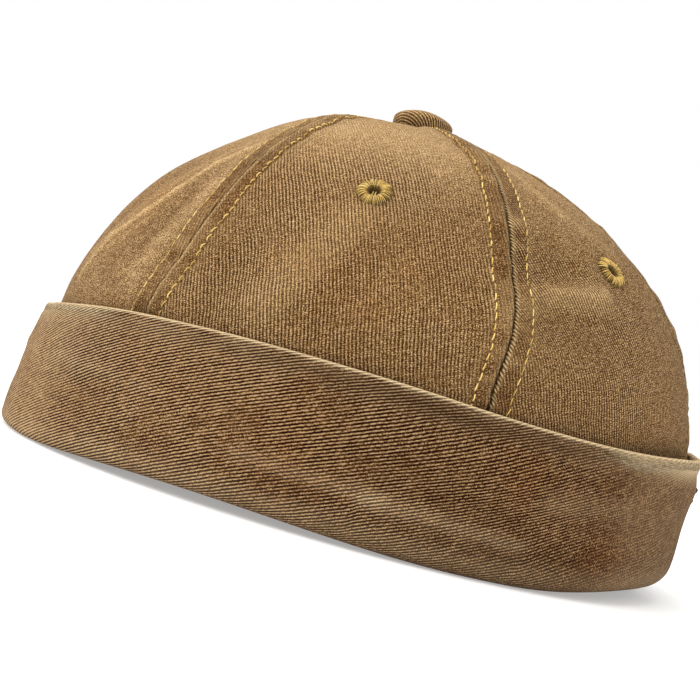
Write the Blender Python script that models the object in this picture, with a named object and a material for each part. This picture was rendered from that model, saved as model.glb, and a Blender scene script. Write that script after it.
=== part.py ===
"""Brimless sailor cap: six-panel twill crown, turned-up cuff, four stitched eyelets,
covered top button and a short back strap with a slide buckle.

Frame: +Z up, the front of the cap faces -Y, the wearer's left is +X, and the
cap stands on z = 0 with the origin at the middle of its footprint.
Sizes below are millimetres; meshes are written in metres.
"""
import math

import bmesh
import bpy
import numpy as np
from mathutils import Vector

MM = 0.001

# ------------------------------------------------------------ driving sizes
CLOTH = 1.2            # crown wall
TUCK = 0.5             # from the cuff's inner face to the crown tucked behind it
GAP = 0.3              # clearance between neighbouring pieces
EGG = 0.051            # the back of the plan outline is this much fuller
CENTRE_Y = 1.1         # moves the outline so that its footprint is centred

CUFF_WALL = 2.6        # double cloth outer wall of the cuff
CHANNEL = 2.3          # slot between the outer wall and the inner leg
CUFF_LEG = 1.6         # inner leg
LEG_TOP = 13.0         # height of the inner leg
FLOOR_PLY = 3.0        # cloth under the channel
RIM_MEAN = 38.8        # height of the cuff's rolled top edge
RIM_WAVE = (-0.96, -1.10, -1.38, 0.67)   # cosine terms of the rim's height, 1 to 4 per turn
RIM_PEAK = (-160.0, 36.0, 2.4)           # angle, half span and height of a rise at the back right
FOLD_FRONT = (3.1, 2.9)   # rounding of the bottom fold at the front, across and up
FOLD_BACK = (5.2, 6.5)    # and at the back

CROWN_EDGE = 3.5       # lower edge of the crown over the underside of the cuff
FREE_FROM, FREE_TO = 13.0, 34.0   # heights between which the crown leaves the cuff
APEX_HOLE = 3.3        # radius of the opening where the panels meet

SEAM_BAND = 4.3        # width of the stitched seam allowance beside each seam
SEAM_RISE = 0.45       # how much the allowance stands out

EYELET_R = 4.5         # stitched ring, outside
EYELET_BORE = 1.45
EYELET_NECK = 1.9
VENT_R = 2.2           # hole through the panel

BUTTON_R = 9.2
BUTTON_BASE = 118.6    # underside of the covered button
BUTTON_TOP = 125.1

STRAP_T = 187.0        # plan angle of the back adjuster, degrees
STRAP_Z = 21.8         # its middle height
STRAP_HALF = 12.0      # half length
STRAP_H = 16.6         # width of the strap
STRAP_THICK = 0.8
STRAP_OFF = 0.3       # from the cuff to the strap and buckle
BUCKLE_W = 15.0        # along the strap
BUCKLE_H = 21.4        # across the strap
BUCKLE_BAR = 1.6
BUCKLE_THICK = 0.7
BAR_LIFT = 1.1         # how far the middle bar is arched out

# plan sections of the crown's outer face
CROWN_SECTIONS = (
    # height, front,  back, half_width
    (3.5,     102.7,  98.5, 81.8),
    (14.0,    101.8,  98.6, 81.6),
    (25.0,    99.9,   98.2, 81.3),
    (38.5,    97.0,   97.9, 80.9),
    (46.0,    95.8,   98.1, 80.4),
    (63.3,    89.4,   94.0, 74.9),
    (79.8,    79.6,   84.2, 67.0),
    (94.3,    64.8,   68.8, 57.0),
    (105.6,   48.8,   50.3, 44.4),
    (113.6,   33.6,   29.9, 28.8),
    (117.9,   10.2,   9.8,  9.7),
    (118.6,   0.0,    0.0,  0.0),
)

# outer face of the cuff, by fraction of its height
CUFF_SECTIONS = (
    # fraction, front, back, half_width
    (0.00,      106.3, 100.9, 84.8),
    (0.30,      105.9, 102.5, 84.9),
    (0.50,      104.8, 102.6, 84.5),
    (0.70,      103.9, 103.3, 84.1),
    (0.90,      102.2, 103.1, 83.8),
    (1.00,      101.3, 104.4, 84.0),
)

# where the bottom fold lifts a little off the surface
RIM_LIFTS = (
    # angle, half_span, height
    (82.0,   42.0,      2.35),
    (-82.0,  42.0,      2.35),
    (156.0,  24.0,      0.9),
    (-156.0, 24.0,      0.9),
    (180.0,  52.0,      3.4),
)

# seams, plan angle in degrees, front to back on the wearer's left then right
SEAMS = {"front": 1.5, "left_front": 63.6, "left_back": 119.5, "back": 176.0,
         "right_back": -121.0, "right_front": -63.0}

PANELS = (
    # name,               from,          to,            eyelet_angle, eyelet_height
    ("panel_front_left",  "front",       "left_front",  None,         None),
    ("panel_side_left",   "left_front",  "left_back",   92.5,         86.0),
    ("panel_back_left",   "left_back",   "back",        144.8,        83.1),
    ("panel_back_right",  "back",        "right_back",  -151.5,       84.0),
    ("panel_side_right",  "right_back",  "right_front", -91.5,        85.5),
    ("panel_front_right", "right_front", "front",       None,         None),
)

# soft dents (negative) and folds (positive) of the crown
CROWN_FOLDS = (
    # angle, height, toward_angle, toward_height, half_width, depth
    (124.0,  70.0,   139.0,        74.5,          4.5,        1.0),    # crease over the back left panel
    (125.0,  75.5,   131.0,        78.0,          4.5,        -0.8),
    (130.0,  62.0,   140.0,        64.0,          6.0,        -0.8),
    (76.0,   66.0,   74.0,         46.0,          5.0,        -1.1),   # hollow behind the left front seam
    (92.0,   80.0,   83.0,         52.0,          6.5,        0.8),
    (98.0,   70.0,   90.5,         48.0,          6.0,        -0.9),
    (34.0,   55.0,   52.0,         94.0,          4.5,        0.8),    # soft ridge of the front left panel
    (112.0,  45.0,   138.0,        43.5,          5.0,        -0.9),   # undercut over the cuff
    (-84.0,  74.0,   -78.0,        50.0,          6.5,        -0.9),
    (-100.0, 72.0,   -108.0,       50.0,          6.5,        0.8),
    (-40.0,  60.0,   -22.0,        66.0,          6.0,        -0.8),
    (-150.0, 58.0,   -134.0,       62.0,          6.0,        -0.8),
)

# the same for the cuff's outer face
CUFF_FOLDS = (
    # angle, height, toward_angle, toward_height, half_width, depth
    (84.0,   12.0,   128.0,        10.0,          6.0,        0.7),    # puffed fold along the bottom
    (104.0,  19.0,   126.0,        16.0,          5.0,        -0.9),   # hollow over it
    (95.0,   34.0,   122.0,        33.5,          3.5,        -0.5),
    (-76.0,  13.0,   -104.0,       12.0,          6.0,        0.6),
    (-118.0, 13.0,   -140.0,       12.0,          6.0,        0.6),
    (-20.0,  18.0,   20.0,         16.0,          6.0,        -0.5),
    (187.0,  10.0,   187.1,        31.0,          18.0,       -2.4),   # pulled in under the back strap
    (174.8,  10.0,   174.9,        31.0,          7.0,        0.6),    # and standing out on both sides of it
    (199.2,  10.0,   199.3,        31.0,          7.0,        0.6),
    (181.5,  33.0,   183.0,        33.0,          4.5,        1.9),
)

COLOURS = {
    # name:   (red, green, blue), roughness, metallic
    "crown":  ((0.262, 0.150, 0.060), 0.90, 0.0),
    "cuff":   ((0.200, 0.112, 0.049), 0.92, 0.0),
    "thread": ((0.420, 0.270, 0.055), 0.70, 0.0),
    "button": ((0.300, 0.185, 0.085), 0.90, 0.0),
    "strap":  ((0.215, 0.122, 0.052), 0.90, 0.0),
    "buckle": ((0.060, 0.052, 0.045), 0.38, 1.0),
}


# ------------------------------------------------------------ small maths
def smooth(x):
    x = np.clip(x, 0.0, 1.0)
    return x * x * (3 - 2 * x)


def bump(t, centre, half_span):
    """cos-squared bump over a plan angle, degrees"""
    d = np.abs((t - centre + 180.0) % 360.0 - 180.0) / half_span
    return np.where(d < 1.0, np.cos(np.minimum(d, 1.0) * np.pi / 2) ** 2, 0.0)


def spline(x, y, end_slope=None):
    """Cubic spline through (x, y), free at the start and free or clamped at the end."""
    x, y = np.asarray(x, float), np.asarray(y, float)
    n = len(x)
    h = np.diff(x)
    a = np.zeros((n, n))
    r = np.zeros(n)
    a[0, 0] = 1.0
    for i in range(1, n - 1):
        a[i, i - 1:i + 2] = h[i - 1], 2 * (h[i - 1] + h[i]), h[i]
        r[i] = 6 * ((y[i + 1] - y[i]) / h[i] - (y[i] - y[i - 1]) / h[i - 1])
    if end_slope is None:
        a[-1, -1] = 1.0
    else:
        a[-1, -2:] = h[-1], 2 * h[-1]
        r[-1] = 6 * (end_slope - (y[-1] - y[-2]) / h[-1])
    m = np.linalg.solve(a, r)

    def at(q):
        q = np.asarray(q, float)
        i = np.clip(np.searchsorted(x, q) - 1, 0, n - 2)
        d0, d1 = x[i + 1] - q, q - x[i]
        return (m[i] * d0 ** 3 + m[i + 1] * d1 ** 3) / (6 * h[i]) \
            + (y[i] / h[i] - m[i] * h[i] / 6) * d0 + (y[i + 1] / h[i] - m[i + 1] * h[i] / 6) * d1
    return at


def outline(t, front, back, half):
    """Plan outline of the cap: t = 0 at the front, 90 at the wearer's left, 180 at the back."""
    a = np.radians(t)
    x = half * np.sin(a) * (1.0 - EGG * np.cos(a))
    y = (back - front) / 2.0 - (back + front) / 2.0 * np.cos(a) + CENTRE_Y
    return x, y


def lift(t):
    return sum(h * bump(t, c, w) for c, w, h in RIM_LIFTS)


def rim(t):
    a = np.radians(t)
    c, w, h = RIM_PEAK
    return RIM_MEAN + sum(k * np.cos((i + 1) * a) for i, k in enumerate(RIM_WAVE)) + h * bump(t, c, w)


def fold_height(table, t, z, across):
    """Sum of the soft dents and folds at plan angle t and height z; across = mm per degree."""
    total = np.zeros(np.broadcast(t, z).shape)
    for t0, z0, t1, z1, width, depth in table:
        d = (t - t0 + 180.0) % 360.0 - 180.0
        px, pz = d * across, z - z0
        lx, lz = ((t1 - t0 + 180.0) % 360.0 - 180.0) * across, z1 - z0
        ll = lx * lx + lz * lz
        k = np.clip((px * lx + pz * lz) / ll, 0.0, 1.0)
        r2 = (px - k * lx) ** 2 + (pz - k * lz) ** 2
        total = total + depth * np.exp(-r2 / (2 * (width * 0.62) ** 2))
    return total


# ------------------------------------------------------------ cuff surface
_c = np.array(CUFF_SECTIONS)
cuff_front, cuff_back, cuff_half = (spline(_c[:, 0], _c[:, k]) for k in (1, 2, 3))


def cuff_xy(t, z, inset=0.0, folds=True):
    """Point of the cuff, inset from its outer face, at plan angle t and height z."""
    lo, hi = lift(t), rim(t)
    f = np.clip((z - lo) / (hi - lo), 0.0, 1.0)
    out = fold_height(CUFF_FOLDS, t, z, 1.55) * smooth((hi - z) / 5.0) * smooth((z - lo) / 4.0) if folds else 0.0
    d = out - inset
    return outline(t, cuff_front(f) + d, cuff_back(f) + d, cuff_half(f) + d)


# ------------------------------------------------------------ crown surface
_k = np.array(CROWN_SECTIONS)
_mean = (_k[:, 1] + _k[:, 2] + 2 * _k[:, 3]) / 4
_s = np.concatenate([[0.0], np.cumsum(np.hypot(np.diff(_k[:, 0]), np.diff(_mean)))])
_s = _s / _s[-1]
crown_z = spline(_s, _k[:, 0], end_slope=0.0)
crown_front, crown_back, crown_half = (spline(_s, _k[:, k]) for k in (1, 2, 3))


def crown_s(z):
    """Section parameter at a height"""
    lo, hi = 0.0, 1.0
    for _ in range(50):
        mid = (lo + hi) / 2
        lo, hi = (mid, hi) if crown_z(mid) < z else (lo, mid)
    return (lo + hi) / 2


def crown_point(s, t, raise_by=0.0):
    """Outer face of the crown. Low down it follows the inside of the cuff."""
    s, t = np.broadcast_arrays(np.asarray(s, float), np.asarray(t, float))
    z = crown_z(s)
    z = z + lift(t) * (1 - smooth((z - CROWN_EDGE) / 22.0))
    fade = smooth((z - FREE_TO) / 10.0) * smooth((113.0 - z) / 12.0)
    d = raise_by + fold_height(CROWN_FOLDS, t, z, 1.45) * fade
    x, y = outline(t, crown_front(s) + d, crown_back(s) + d, crown_half(s) + d)
    qx, qy = cuff_xy(t, z, CUFF_WALL + TUCK, folds=False)
    k = smooth((z - FREE_FROM) / (FREE_TO - FREE_FROM))
    return np.stack([qx * (1 - k) + x * k, qy * (1 - k) + y * k, z], -1)


def crown_normal(s, t):
    e = 1e-3
    ds = crown_point(np.minimum(s + e, 1.0), t) - crown_point(np.minimum(s + e, 1.0) - 2 * e, t)
    dt = crown_point(s, t + 0.2) - crown_point(s, t - 0.2)
    n = np.cross(dt, ds)
    return n / np.linalg.norm(n, axis=-1, keepdims=True)


# ------------------------------------------------------------ mesh helpers
def material(kind):
    name = "cap_" + kind
    m = bpy.data.materials.get(name)
    if m is None:
        colour, roughness, metallic = COLOURS[kind]
        m = bpy.data.materials.new(name)
        m.use_nodes = True
        b = m.node_tree.nodes["Principled BSDF"]
        b.inputs["Base Color"].default_value = (*colour, 1.0)
        b.inputs["Roughness"].default_value = roughness
        b.inputs["Metallic"].default_value = metallic
        m.diffuse_color = (*colour, 1.0)
    return m


def add_object(name, verts_mm, faces, kind, smooth_angle=40.0):
    mesh = bpy.data.meshes.new(name)
    mesh.from_pydata([tuple(float(c) * MM for c in v) for v in verts_mm], [], [tuple(f) for f in faces])
    bm = bmesh.new()
    bm.from_mesh(mesh)
    bmesh.ops.recalc_face_normals(bm, faces=bm.faces)
    bm.to_mesh(mesh)
    bm.free()
    mesh.validate()
    ob = bpy.data.objects.new(name, mesh)
    bpy.context.scene.collection.objects.link(ob)
    mesh.materials.append(material(kind))
    mesh.shade_smooth()
    mesh.set_sharp_from_angle(angle=math.radians(smooth_angle))
    return ob


def shell(outer, inner):
    """Closed wall between two grids of points of the same shape, rows x columns."""
    rows, cols = outer.shape[:2]
    verts = np.concatenate([outer.reshape(-1, 3), inner.reshape(-1, 3)])
    off = rows * cols
    faces = []
    for r in range(rows - 1):
        for c in range(cols - 1):
            a, b, d, e = r * cols + c, r * cols + c + 1, (r + 1) * cols + c + 1, (r + 1) * cols + c
            faces.append((a, b, d, e))
            faces.append((off + e, off + d, off + b, off + a))
    edge = [(0, c) for c in range(cols)] + [(r, cols - 1) for r in range(1, rows)] \
        + [(rows - 1, c) for c in range(cols - 2, -1, -1)] + [(r, 0) for r in range(rows - 2, 0, -1)]
    ids = [r * cols + c for r, c in edge]
    for i, a in enumerate(ids):
        b = ids[(i + 1) % len(ids)]
        faces.append((b, a, off + a, off + b))
    return verts, faces


def ring(profiles):
    """Closed ring from stations x profile points, both closed."""
    n, m = profiles.shape[:2]
    faces = [(i * m + j, ((i + 1) % n) * m + j, ((i + 1) % n) * m + (j + 1) % m, i * m + (j + 1) % m)
             for i in range(n) for j in range(m)]
    return profiles.reshape(-1, 3), faces


def turned(profile, segments):
    """Closed profile (r, h) turned about the local Z axis; r = 0 points become poles."""
    verts, index = [], []
    for r, h in profile:
        if r < 1e-9:
            index.append([len(verts)] * segments)
            verts.append((0.0, 0.0, h))
        else:
            index.append(list(range(len(verts), len(verts) + segments)))
            for k in range(segments):
                a = 2 * math.pi * k / segments
                verts.append((r * math.cos(a), r * math.sin(a), h))
    faces = []
    closed = profile[0][0] > 1e-9
    for j in range(len(profile) if closed else len(profile) - 1):
        p, q = index[j], index[(j + 1) % len(profile)]
        for k in range(segments):
            f = [p[k], p[(k + 1) % segments], q[(k + 1) % segments], q[k]]
            f = [v for i, v in enumerate(f) if v not in f[:i]]
            if len(f) > 2:
                faces.append(f)
    return np.array(verts), faces


def axes_at(point, normal):
    """Rows: across, up the panel, outward, for placing a turned piece."""
    n = Vector(normal).normalized()
    x = Vector((0, 0, 1)).cross(n).normalized()
    y = n.cross(x)
    return np.array([x, y, n])


# ------------------------------------------------------------ pieces
def panel(name, t0, t1, eyelet_t, eyelet_z):
    if t1 < t0:
        t1 += 360.0
    heights = (None, 11.0, 22.0, 33.0, 42.0, 50.5, 59.0, 67.5, 75.5, 83.0, 90.0, 96.5, 102.2, 107.4, 112.0, 115.6, 117.8)
    rows = [0.0] + [crown_s(h) for h in heights[1:]]
    # last row: where the opening under the button starts
    radius = [0.5 * (float(crown_front(s)) + float(crown_back(s))) for s in np.linspace(0.9, 1.0, 400)]
    rows.append(float(np.interp(-APEX_HOLE, -np.array(radius), np.linspace(0.9, 1.0, 400))))
    outer, inner = [], []
    fine = np.linspace(t0, t1, 241)
    for s in rows:
        run = crown_point(np.full_like(fine, s), fine)
        arc = np.concatenate([[0.0], np.cumsum(np.linalg.norm(np.diff(run, axis=0), axis=1))])
        width = arc[-1]
        gap = min(GAP / 2, 0.2 * width)
        half = width / 2
        a = min(SEAM_BAND, 0.45 * half)
        b = min(SEAM_BAND + 1.1, 0.62 * half)
        inner_run = np.linspace(b, half, 5)[1:]
        left = [gap, a, b] + list(inner_run)
        marks = np.array(left + [width - d for d in left[-2::-1]])
        t = np.interp(marks, arc, fine)
        rise = np.where(np.minimum(marks, width - marks) <= a + 1e-6, SEAM_RISE, 0.0)
        z = crown_z(s)
        rise = rise * smooth((z - 39.0) / 6.0) * smooth((116.5 - z) / 6.0)
        ss = np.full_like(t, s)
        n = crown_normal(ss, t)
        p = crown_point(ss, t) + n * rise[:, None]
        outer.append(p)
        inner.append(crown_point(ss, t) - n * CLOTH)
    outer, inner = np.array(outer), np.array(inner)
    inner[0, :, 2] = outer[0, :, 2]
    ob = add_object(name, *shell(outer, inner), "crown")
    if eyelet_t is None:
        return
    # vent hole
    s = crown_s(eyelet_z)
    c, n = crown_point(s, eyelet_t), crown_normal(s, eyelet_t)
    cut, faces = turned([(0.0, -4.0), (VENT_R, -4.0), (VENT_R, 4.0), (0.0, 4.0)], 20)
    cutter = add_object("cut_" + name, cut @ axes_at(c, n) + c, faces, "thread")
    cutter.hide_render = True
    cutter.display_type = "WIRE"
    mod = ob.modifiers.new("vent", "BOOLEAN")
    mod.operation = "DIFFERENCE"
    mod.solver = "EXACT"
    mod.object = cutter
    # stitched ring round the hole
    top = GAP
    bottom = -CLOTH - GAP - 0.1
    prof = [(EYELET_BORE, bottom - 0.45), (3.5, bottom - 0.45), (3.7, bottom), (EYELET_NECK, bottom),
            (EYELET_NECK, top), (EYELET_R - 0.25, top), (EYELET_R, top + 0.25), (EYELET_R - 0.6, top + 0.7),
            (EYELET_R - 1.6, top + 0.9), (EYELET_BORE + 0.5, top + 0.7), (EYELET_BORE, top + 0.3)]
    v, faces = turned(prof, 20)
    add_object(name.replace("panel_", "eyelet_"), v @ axes_at(c, n) + c, faces, "thread")


def cuff():
    stations = 84
    rings = []
    for i in range(stations):
        t = 360.0 * i / stations - 180.0
        lo, hi = float(lift(t)), float(rim(t))
        back = (1 - math.cos(math.radians(t))) / 2
        rx, rz = (p + (q - p) * back for p, q in zip(FOLD_FRONT, FOLD_BACK))
        leg_in = CUFF_WALL + CHANNEL
        leg_out = leg_in + CUFF_LEG
        # (inset, height) round the section, from the underside outward and up
        pts = [(rx * (1 - math.sin(a)), lo + rz * (1 - math.cos(a))) for a in (0.0, 0.5, 1.0, math.pi / 2)]
        pts += [(0.0, lo + f * (hi - lo)) for f in (0.32, 0.5, 0.68, 0.84)]
        pts += [(-0.35, hi - 2.2), (0.1, hi - 0.6), (1.3, hi), (2.5, hi - 0.6), (CUFF_WALL + 0.15, hi - 2.2)]
        pts += [(CUFF_WALL, hi - 7.0), (CUFF_WALL, 20.0), (CUFF_WALL, lo + FLOOR_PLY), (leg_in, lo + FLOOR_PLY),
                (leg_in, LEG_TOP), (leg_out, LEG_TOP), (leg_out, lo + 0.7), (leg_out - 0.5, lo)]
        row = []
        for inset, z in pts:
            x, y = cuff_xy(t, z, inset, folds=inset < 1.0)
            row.append((float(x), float(y), z))
        rings.append(row)
    add_object("cuff", *ring(np.array(rings)), "cuff", 50.0)


def top_button():
    h = BUTTON_TOP - BUTTON_BASE
    dome = [(BUTTON_R * math.sin(a), BUTTON_BASE + 0.56 * h + 0.44 * h * math.cos(a)) for a in np.linspace(0, math.pi / 2, 7)]
    under = [(BUTTON_R + 0.05, BUTTON_BASE + 0.33 * h), (BUTTON_R - 0.5, BUTTON_BASE + 0.12 * h), (BUTTON_R - 1.5, BUTTON_BASE),
             (2.3, BUTTON_BASE + 0.2), (2.3, 116.1), (6.2, 115.5), (6.2, 114.6), (0.0, 114.6)]
    v, faces = turned(dome + under, 36)
    v = v + np.array([0.0, CENTRE_Y, 0.0])
    add_object("top_button", v, faces, "button")


def back_point(u, z, off):
    """Point off the cuff's outer face at the centre back; u runs round the cap in mm."""
    a, b = (np.array(cuff_xy(STRAP_T + k, STRAP_Z, 0.0)) for k in (-1.0, 1.0))
    per_degree = np.linalg.norm(b - a) / 2
    x, y = cuff_xy(STRAP_T + u / per_degree, z, -off)
    return np.stack([x, y, np.broadcast_to(z, np.shape(x))], -1)


def back_strap():
    """Lies on the cuff, passes over the buckle's side bars and under its middle bar."""
    base = STRAP_OFF
    side = BUCKLE_W / 2 - BUCKLE_BAR / 2
    over = base + BUCKLE_THICK + GAP
    us = sorted({-STRAP_HALF, -STRAP_HALF + 1.5, -side - 3.4, -side - 1.6, -side, -side + 1.6, -side + 3.6, -2.2, 0.0,
                 2.2, side - 3.6, side - 1.6, side, side + 1.6, side + 3.4, STRAP_HALF - 1.5, STRAP_HALF})
    low = [over if abs(abs(u) - side) < 1.7 else base for u in us]
    rows_out, rows_in = [], []
    for u, o in zip(us, low):
        zs = STRAP_Z + np.linspace(-STRAP_H / 2, STRAP_H / 2, 4)
        rows_out.append(back_point(np.full(4, u), zs, o + STRAP_THICK))
        rows_in.append(back_point(np.full(4, u), zs, o))
    add_object("back_strap", *shell(np.array(rows_out), np.array(rows_in)), "strap")


def bent_box(u0, u1, v0, v1, w0, w1, parts_u, parts_v):
    """Box in strap coordinates, split along u and v so that it follows the cuff."""
    us = np.linspace(u0, u1, parts_u + 1)
    vs = np.linspace(v0, v1, parts_v + 1)
    out = np.array([[back_point(u, STRAP_Z + v, w1) for v in vs] for u in us])
    inn = np.array([[back_point(u, STRAP_Z + v, w0) for v in vs] for u in us])
    return shell(out, inn)


def back_buckle():
    """Slide buckle: frame of two rails and two side bars, and an arched middle bar."""
    w0 = STRAP_OFF
    w1 = w0 + BUCKLE_THICK
    bu, bv, b = BUCKLE_W / 2, BUCKLE_H / 2, BUCKLE_BAR
    high = w0 + BAR_LIFT
    boxes = (
        # from and to along the strap, across it and outward, parts along and across
        (-bu, bu, -bv, -bv + b, w0, w1, 8, 1),
        (-bu, bu, bv - b, bv, w0, w1, 8, 1),
        (-bu, -bu + b, -bv + b / 2, bv - b / 2, w0 + 0.01, w1 - 0.01, 1, 4),
        (bu - b, bu, -bv + b / 2, bv - b / 2, w0 + 0.01, w1 - 0.01, 1, 4),
        (-b / 2, b / 2, -bv + b * 0.2, -bv + b * 0.9, w0 + 0.2, high + 0.5, 1, 1),
        (-b / 2, b / 2, bv - b * 0.9, bv - b * 0.2, w0 + 0.2, high + 0.5, 1, 1),
        (-b / 2 + 0.02, b / 2 - 0.02, -bv + b * 0.3, bv - b * 0.3, high, high + BUCKLE_THICK, 1, 4),
    )
    first = None
    for i, (u0, u1, v0, v1, a0, a1, parts_u, parts_v) in enumerate(boxes):
        name = "back_buckle" if first is None else f"buckle_bar_{i}"
        ob = add_object(name, *bent_box(u0, u1, v0, v1, a0, a1, parts_u, parts_v), "buckle", 30.0)
        if first is None:
            first = ob
            continue
        ob.hide_render = True
        ob.display_type = "WIRE"
        mod = first.modifiers.new(f"join_{i}", "BOOLEAN")
        mod.operation = "UNION"
        mod.solver = "EXACT"
        mod.object = ob


def main():
    for ob in list(bpy.data.objects):
        bpy.data.objects.remove(ob, do_unlink=True)
    for name, a, b, et, ez in PANELS:
        panel(name, SEAMS[a], SEAMS[b], et, ez)
    cuff()
    top_button()
    back_strap()
    back_buckle()


main()
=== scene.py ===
"""Looks of the brimless sailor cap: washed twill panels with stitched seams, thread eyelets,
a covered button, a turned-up cuff with a worn rolled edge, and the back strap with its buckle.

Shapes are worked out in millimetres and written in metres. +Z is up, the front of the cap
faces -Y and the wearer's left is +X. Plan angle t is 0 at the front, 90 at the wearer's left
and 180 at the back.
"""
import math

import bmesh
import bpy
import numpy as np
from mathutils import Matrix, Vector


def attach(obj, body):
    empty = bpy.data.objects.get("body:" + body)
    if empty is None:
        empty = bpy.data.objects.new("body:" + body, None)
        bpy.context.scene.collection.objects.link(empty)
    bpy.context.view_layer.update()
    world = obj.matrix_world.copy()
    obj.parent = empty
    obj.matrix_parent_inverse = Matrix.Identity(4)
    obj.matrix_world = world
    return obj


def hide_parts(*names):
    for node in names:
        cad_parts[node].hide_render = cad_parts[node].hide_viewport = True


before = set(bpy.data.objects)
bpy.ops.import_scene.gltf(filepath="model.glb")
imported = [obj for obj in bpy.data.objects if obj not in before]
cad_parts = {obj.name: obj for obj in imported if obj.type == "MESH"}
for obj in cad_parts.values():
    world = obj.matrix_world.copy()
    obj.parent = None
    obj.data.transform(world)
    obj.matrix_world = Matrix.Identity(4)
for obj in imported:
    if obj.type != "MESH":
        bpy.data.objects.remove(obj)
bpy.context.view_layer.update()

MM = 0.001

# ------------------------------------------------------------ sizes shared with the CAD
CLOTH = 1.2
TUCK = 0.5
EGG = 0.051
CENTRE_Y = 1.1
CUFF_WALL = 2.6
CHANNEL = 2.3
CUFF_LEG = 1.6
LEG_TOP = 13.0
FLOOR_PLY = 3.0
RIM_MEAN = 38.8
RIM_WAVE = (-0.96, -1.10, -1.38, 0.67)
RIM_PEAK = (-160.0, 36.0, 2.4)
FOLD_FRONT = (3.1, 2.9)
FOLD_BACK = (5.2, 6.5)
CROWN_EDGE = 3.5
FREE_FROM, FREE_TO = 13.0, 34.0
APEX_HOLE = 3.3
BUTTON_R = 9.2
BUTTON_BASE = 118.6
BUTTON_TOP = 125.1
VENT_R = 2.2
STRAP_T = 187.0
STRAP_Z = 21.8
STRAP_HALF = 12.0
STRAP_H = 16.6
STRAP_THICK = 0.8
STRAP_OFF = 0.3
BUCKLE_W = 15.0
BUCKLE_H = 21.4
BUCKLE_BAR = 1.6
BUCKLE_THICK = 0.7
BAR_LIFT = 1.1

CROWN_SECTIONS = (
    # height, front,  back, half_width
    (3.5,     102.7,  98.5, 81.8),
    (14.0,    101.8,  98.6, 81.6),
    (25.0,    99.9,   98.2, 81.3),
    (38.5,    97.0,   97.9, 80.9),
    (46.0,    95.8,   98.1, 80.4),
    (63.3,    89.4,   94.0, 74.9),
    (79.8,    79.6,   84.2, 67.0),
    (94.3,    64.8,   68.8, 57.0),
    (105.6,   48.8,   50.3, 44.4),
    (113.6,   33.6,   29.9, 28.8),
    (117.9,   10.2,   9.8,  9.7),
    (118.6,   0.0,    0.0,  0.0),
)

CUFF_SECTIONS = (
    # fraction, front, back, half_width
    (0.00,      106.3, 100.9, 84.8),
    (0.30,      105.9, 102.5, 84.9),
    (0.50,      104.8, 102.6, 84.5),
    (0.70,      103.9, 103.3, 84.1),
    (0.90,      102.2, 103.1, 83.8),
    (1.00,      101.3, 104.4, 84.0),
)

RIM_LIFTS = (
    # angle, half_span, height
    (82.0,   42.0,      2.35),
    (-82.0,  42.0,      2.35),
    (156.0,  24.0,      0.9),
    (-156.0, 24.0,      0.9),
    (180.0,  52.0,      3.4),
)

SEAMS = {"front": 1.5, "left_front": 63.6, "left_back": 119.5, "back": 176.0,
         "right_back": -121.0, "right_front": -63.0}

PANELS = (
    # name,         from,          to,            eyelet_angle, eyelet_height
    ("front_left",  "front",       "left_front",  None,         None),
    ("side_left",   "left_front",  "left_back",   92.5,         86.0),
    ("back_left",   "left_back",   "back",        144.8,        83.1),
    ("back_right",  "back",        "right_back",  -151.5,       84.0),
    ("side_right",  "right_back",  "right_front", -91.5,        85.5),
    ("front_right", "right_front", "front",       None,         None),
)

# soft dents (negative) and folds (positive) of the crown
CROWN_FOLDS = (
    # angle, height, toward_angle, toward_height, half_width, depth
    (124.0,  70.0,   139.0,        74.5,          4.5,        1.0),
    (125.0,  75.5,   131.0,        78.0,          4.5,        -0.8),
    (130.0,  62.0,   140.0,        64.0,          6.0,        -0.8),
    (76.0,   66.0,   74.0,         46.0,          5.0,        -1.1),
    (92.0,   80.0,   83.0,         52.0,          6.5,        0.8),
    (98.0,   70.0,   90.5,         48.0,          6.0,        -0.9),
    (34.0,   55.0,   52.0,         94.0,          4.5,        0.8),
    (112.0,  45.0,   138.0,        43.5,          5.0,        -0.9),
    (-84.0,  74.0,   -78.0,        50.0,          6.5,        -0.9),
    (-100.0, 72.0,   -108.0,       50.0,          6.5,        0.8),
    (-40.0,  60.0,   -22.0,        66.0,          6.0,        -0.8),
    (-150.0, 58.0,   -134.0,       62.0,          6.0,        -0.8),
)

# smaller creases that the cloth shows over those
CROWN_CREASES = (
    # angle, height, toward_angle, toward_height, half_width, depth
    (35.5,   48.0,   39.0,         61.0,          1.6,        0.40),
    (39.0,   61.0,   44.5,         69.0,          1.6,        0.55),
    (44.5,   69.0,   49.0,         77.0,          1.6,        0.55),
    (49.0,   77.0,   52.0,         87.0,          1.6,        0.50),
    (52.0,   87.0,   56.0,         97.0,          1.6,        0.40),
    (52.5,   56.0,   54.5,         78.0,          2.4,        -0.35),
    (41.0,   58.0,   48.0,         68.0,          1.4,        0.22),
    (126.0,  72.5,   140.0,        76.0,          1.8,        0.45),
    (122.5,  74.5,   134.0,        79.0,          2.2,        -0.45),
    (124.0,  66.5,   134.0,        67.0,          2.6,        -0.35),
    (133.0,  98.0,   150.0,        88.0,          2.2,        0.45),
    (-36.0,  60.0,   -50.0,        88.0,          1.8,        0.45),
    (-128.0, 70.0,   -143.0,       73.0,          2.0,        0.45),
    (-70.0,  52.0,   -76.0,        64.0,          3.0,        -0.4),
    (160.0,  50.0,   168.0,        60.0,          3.0,        -0.4),
    (-168.0, 48.0,   -156.0,       56.0,          3.0,        0.4),
)

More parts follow.
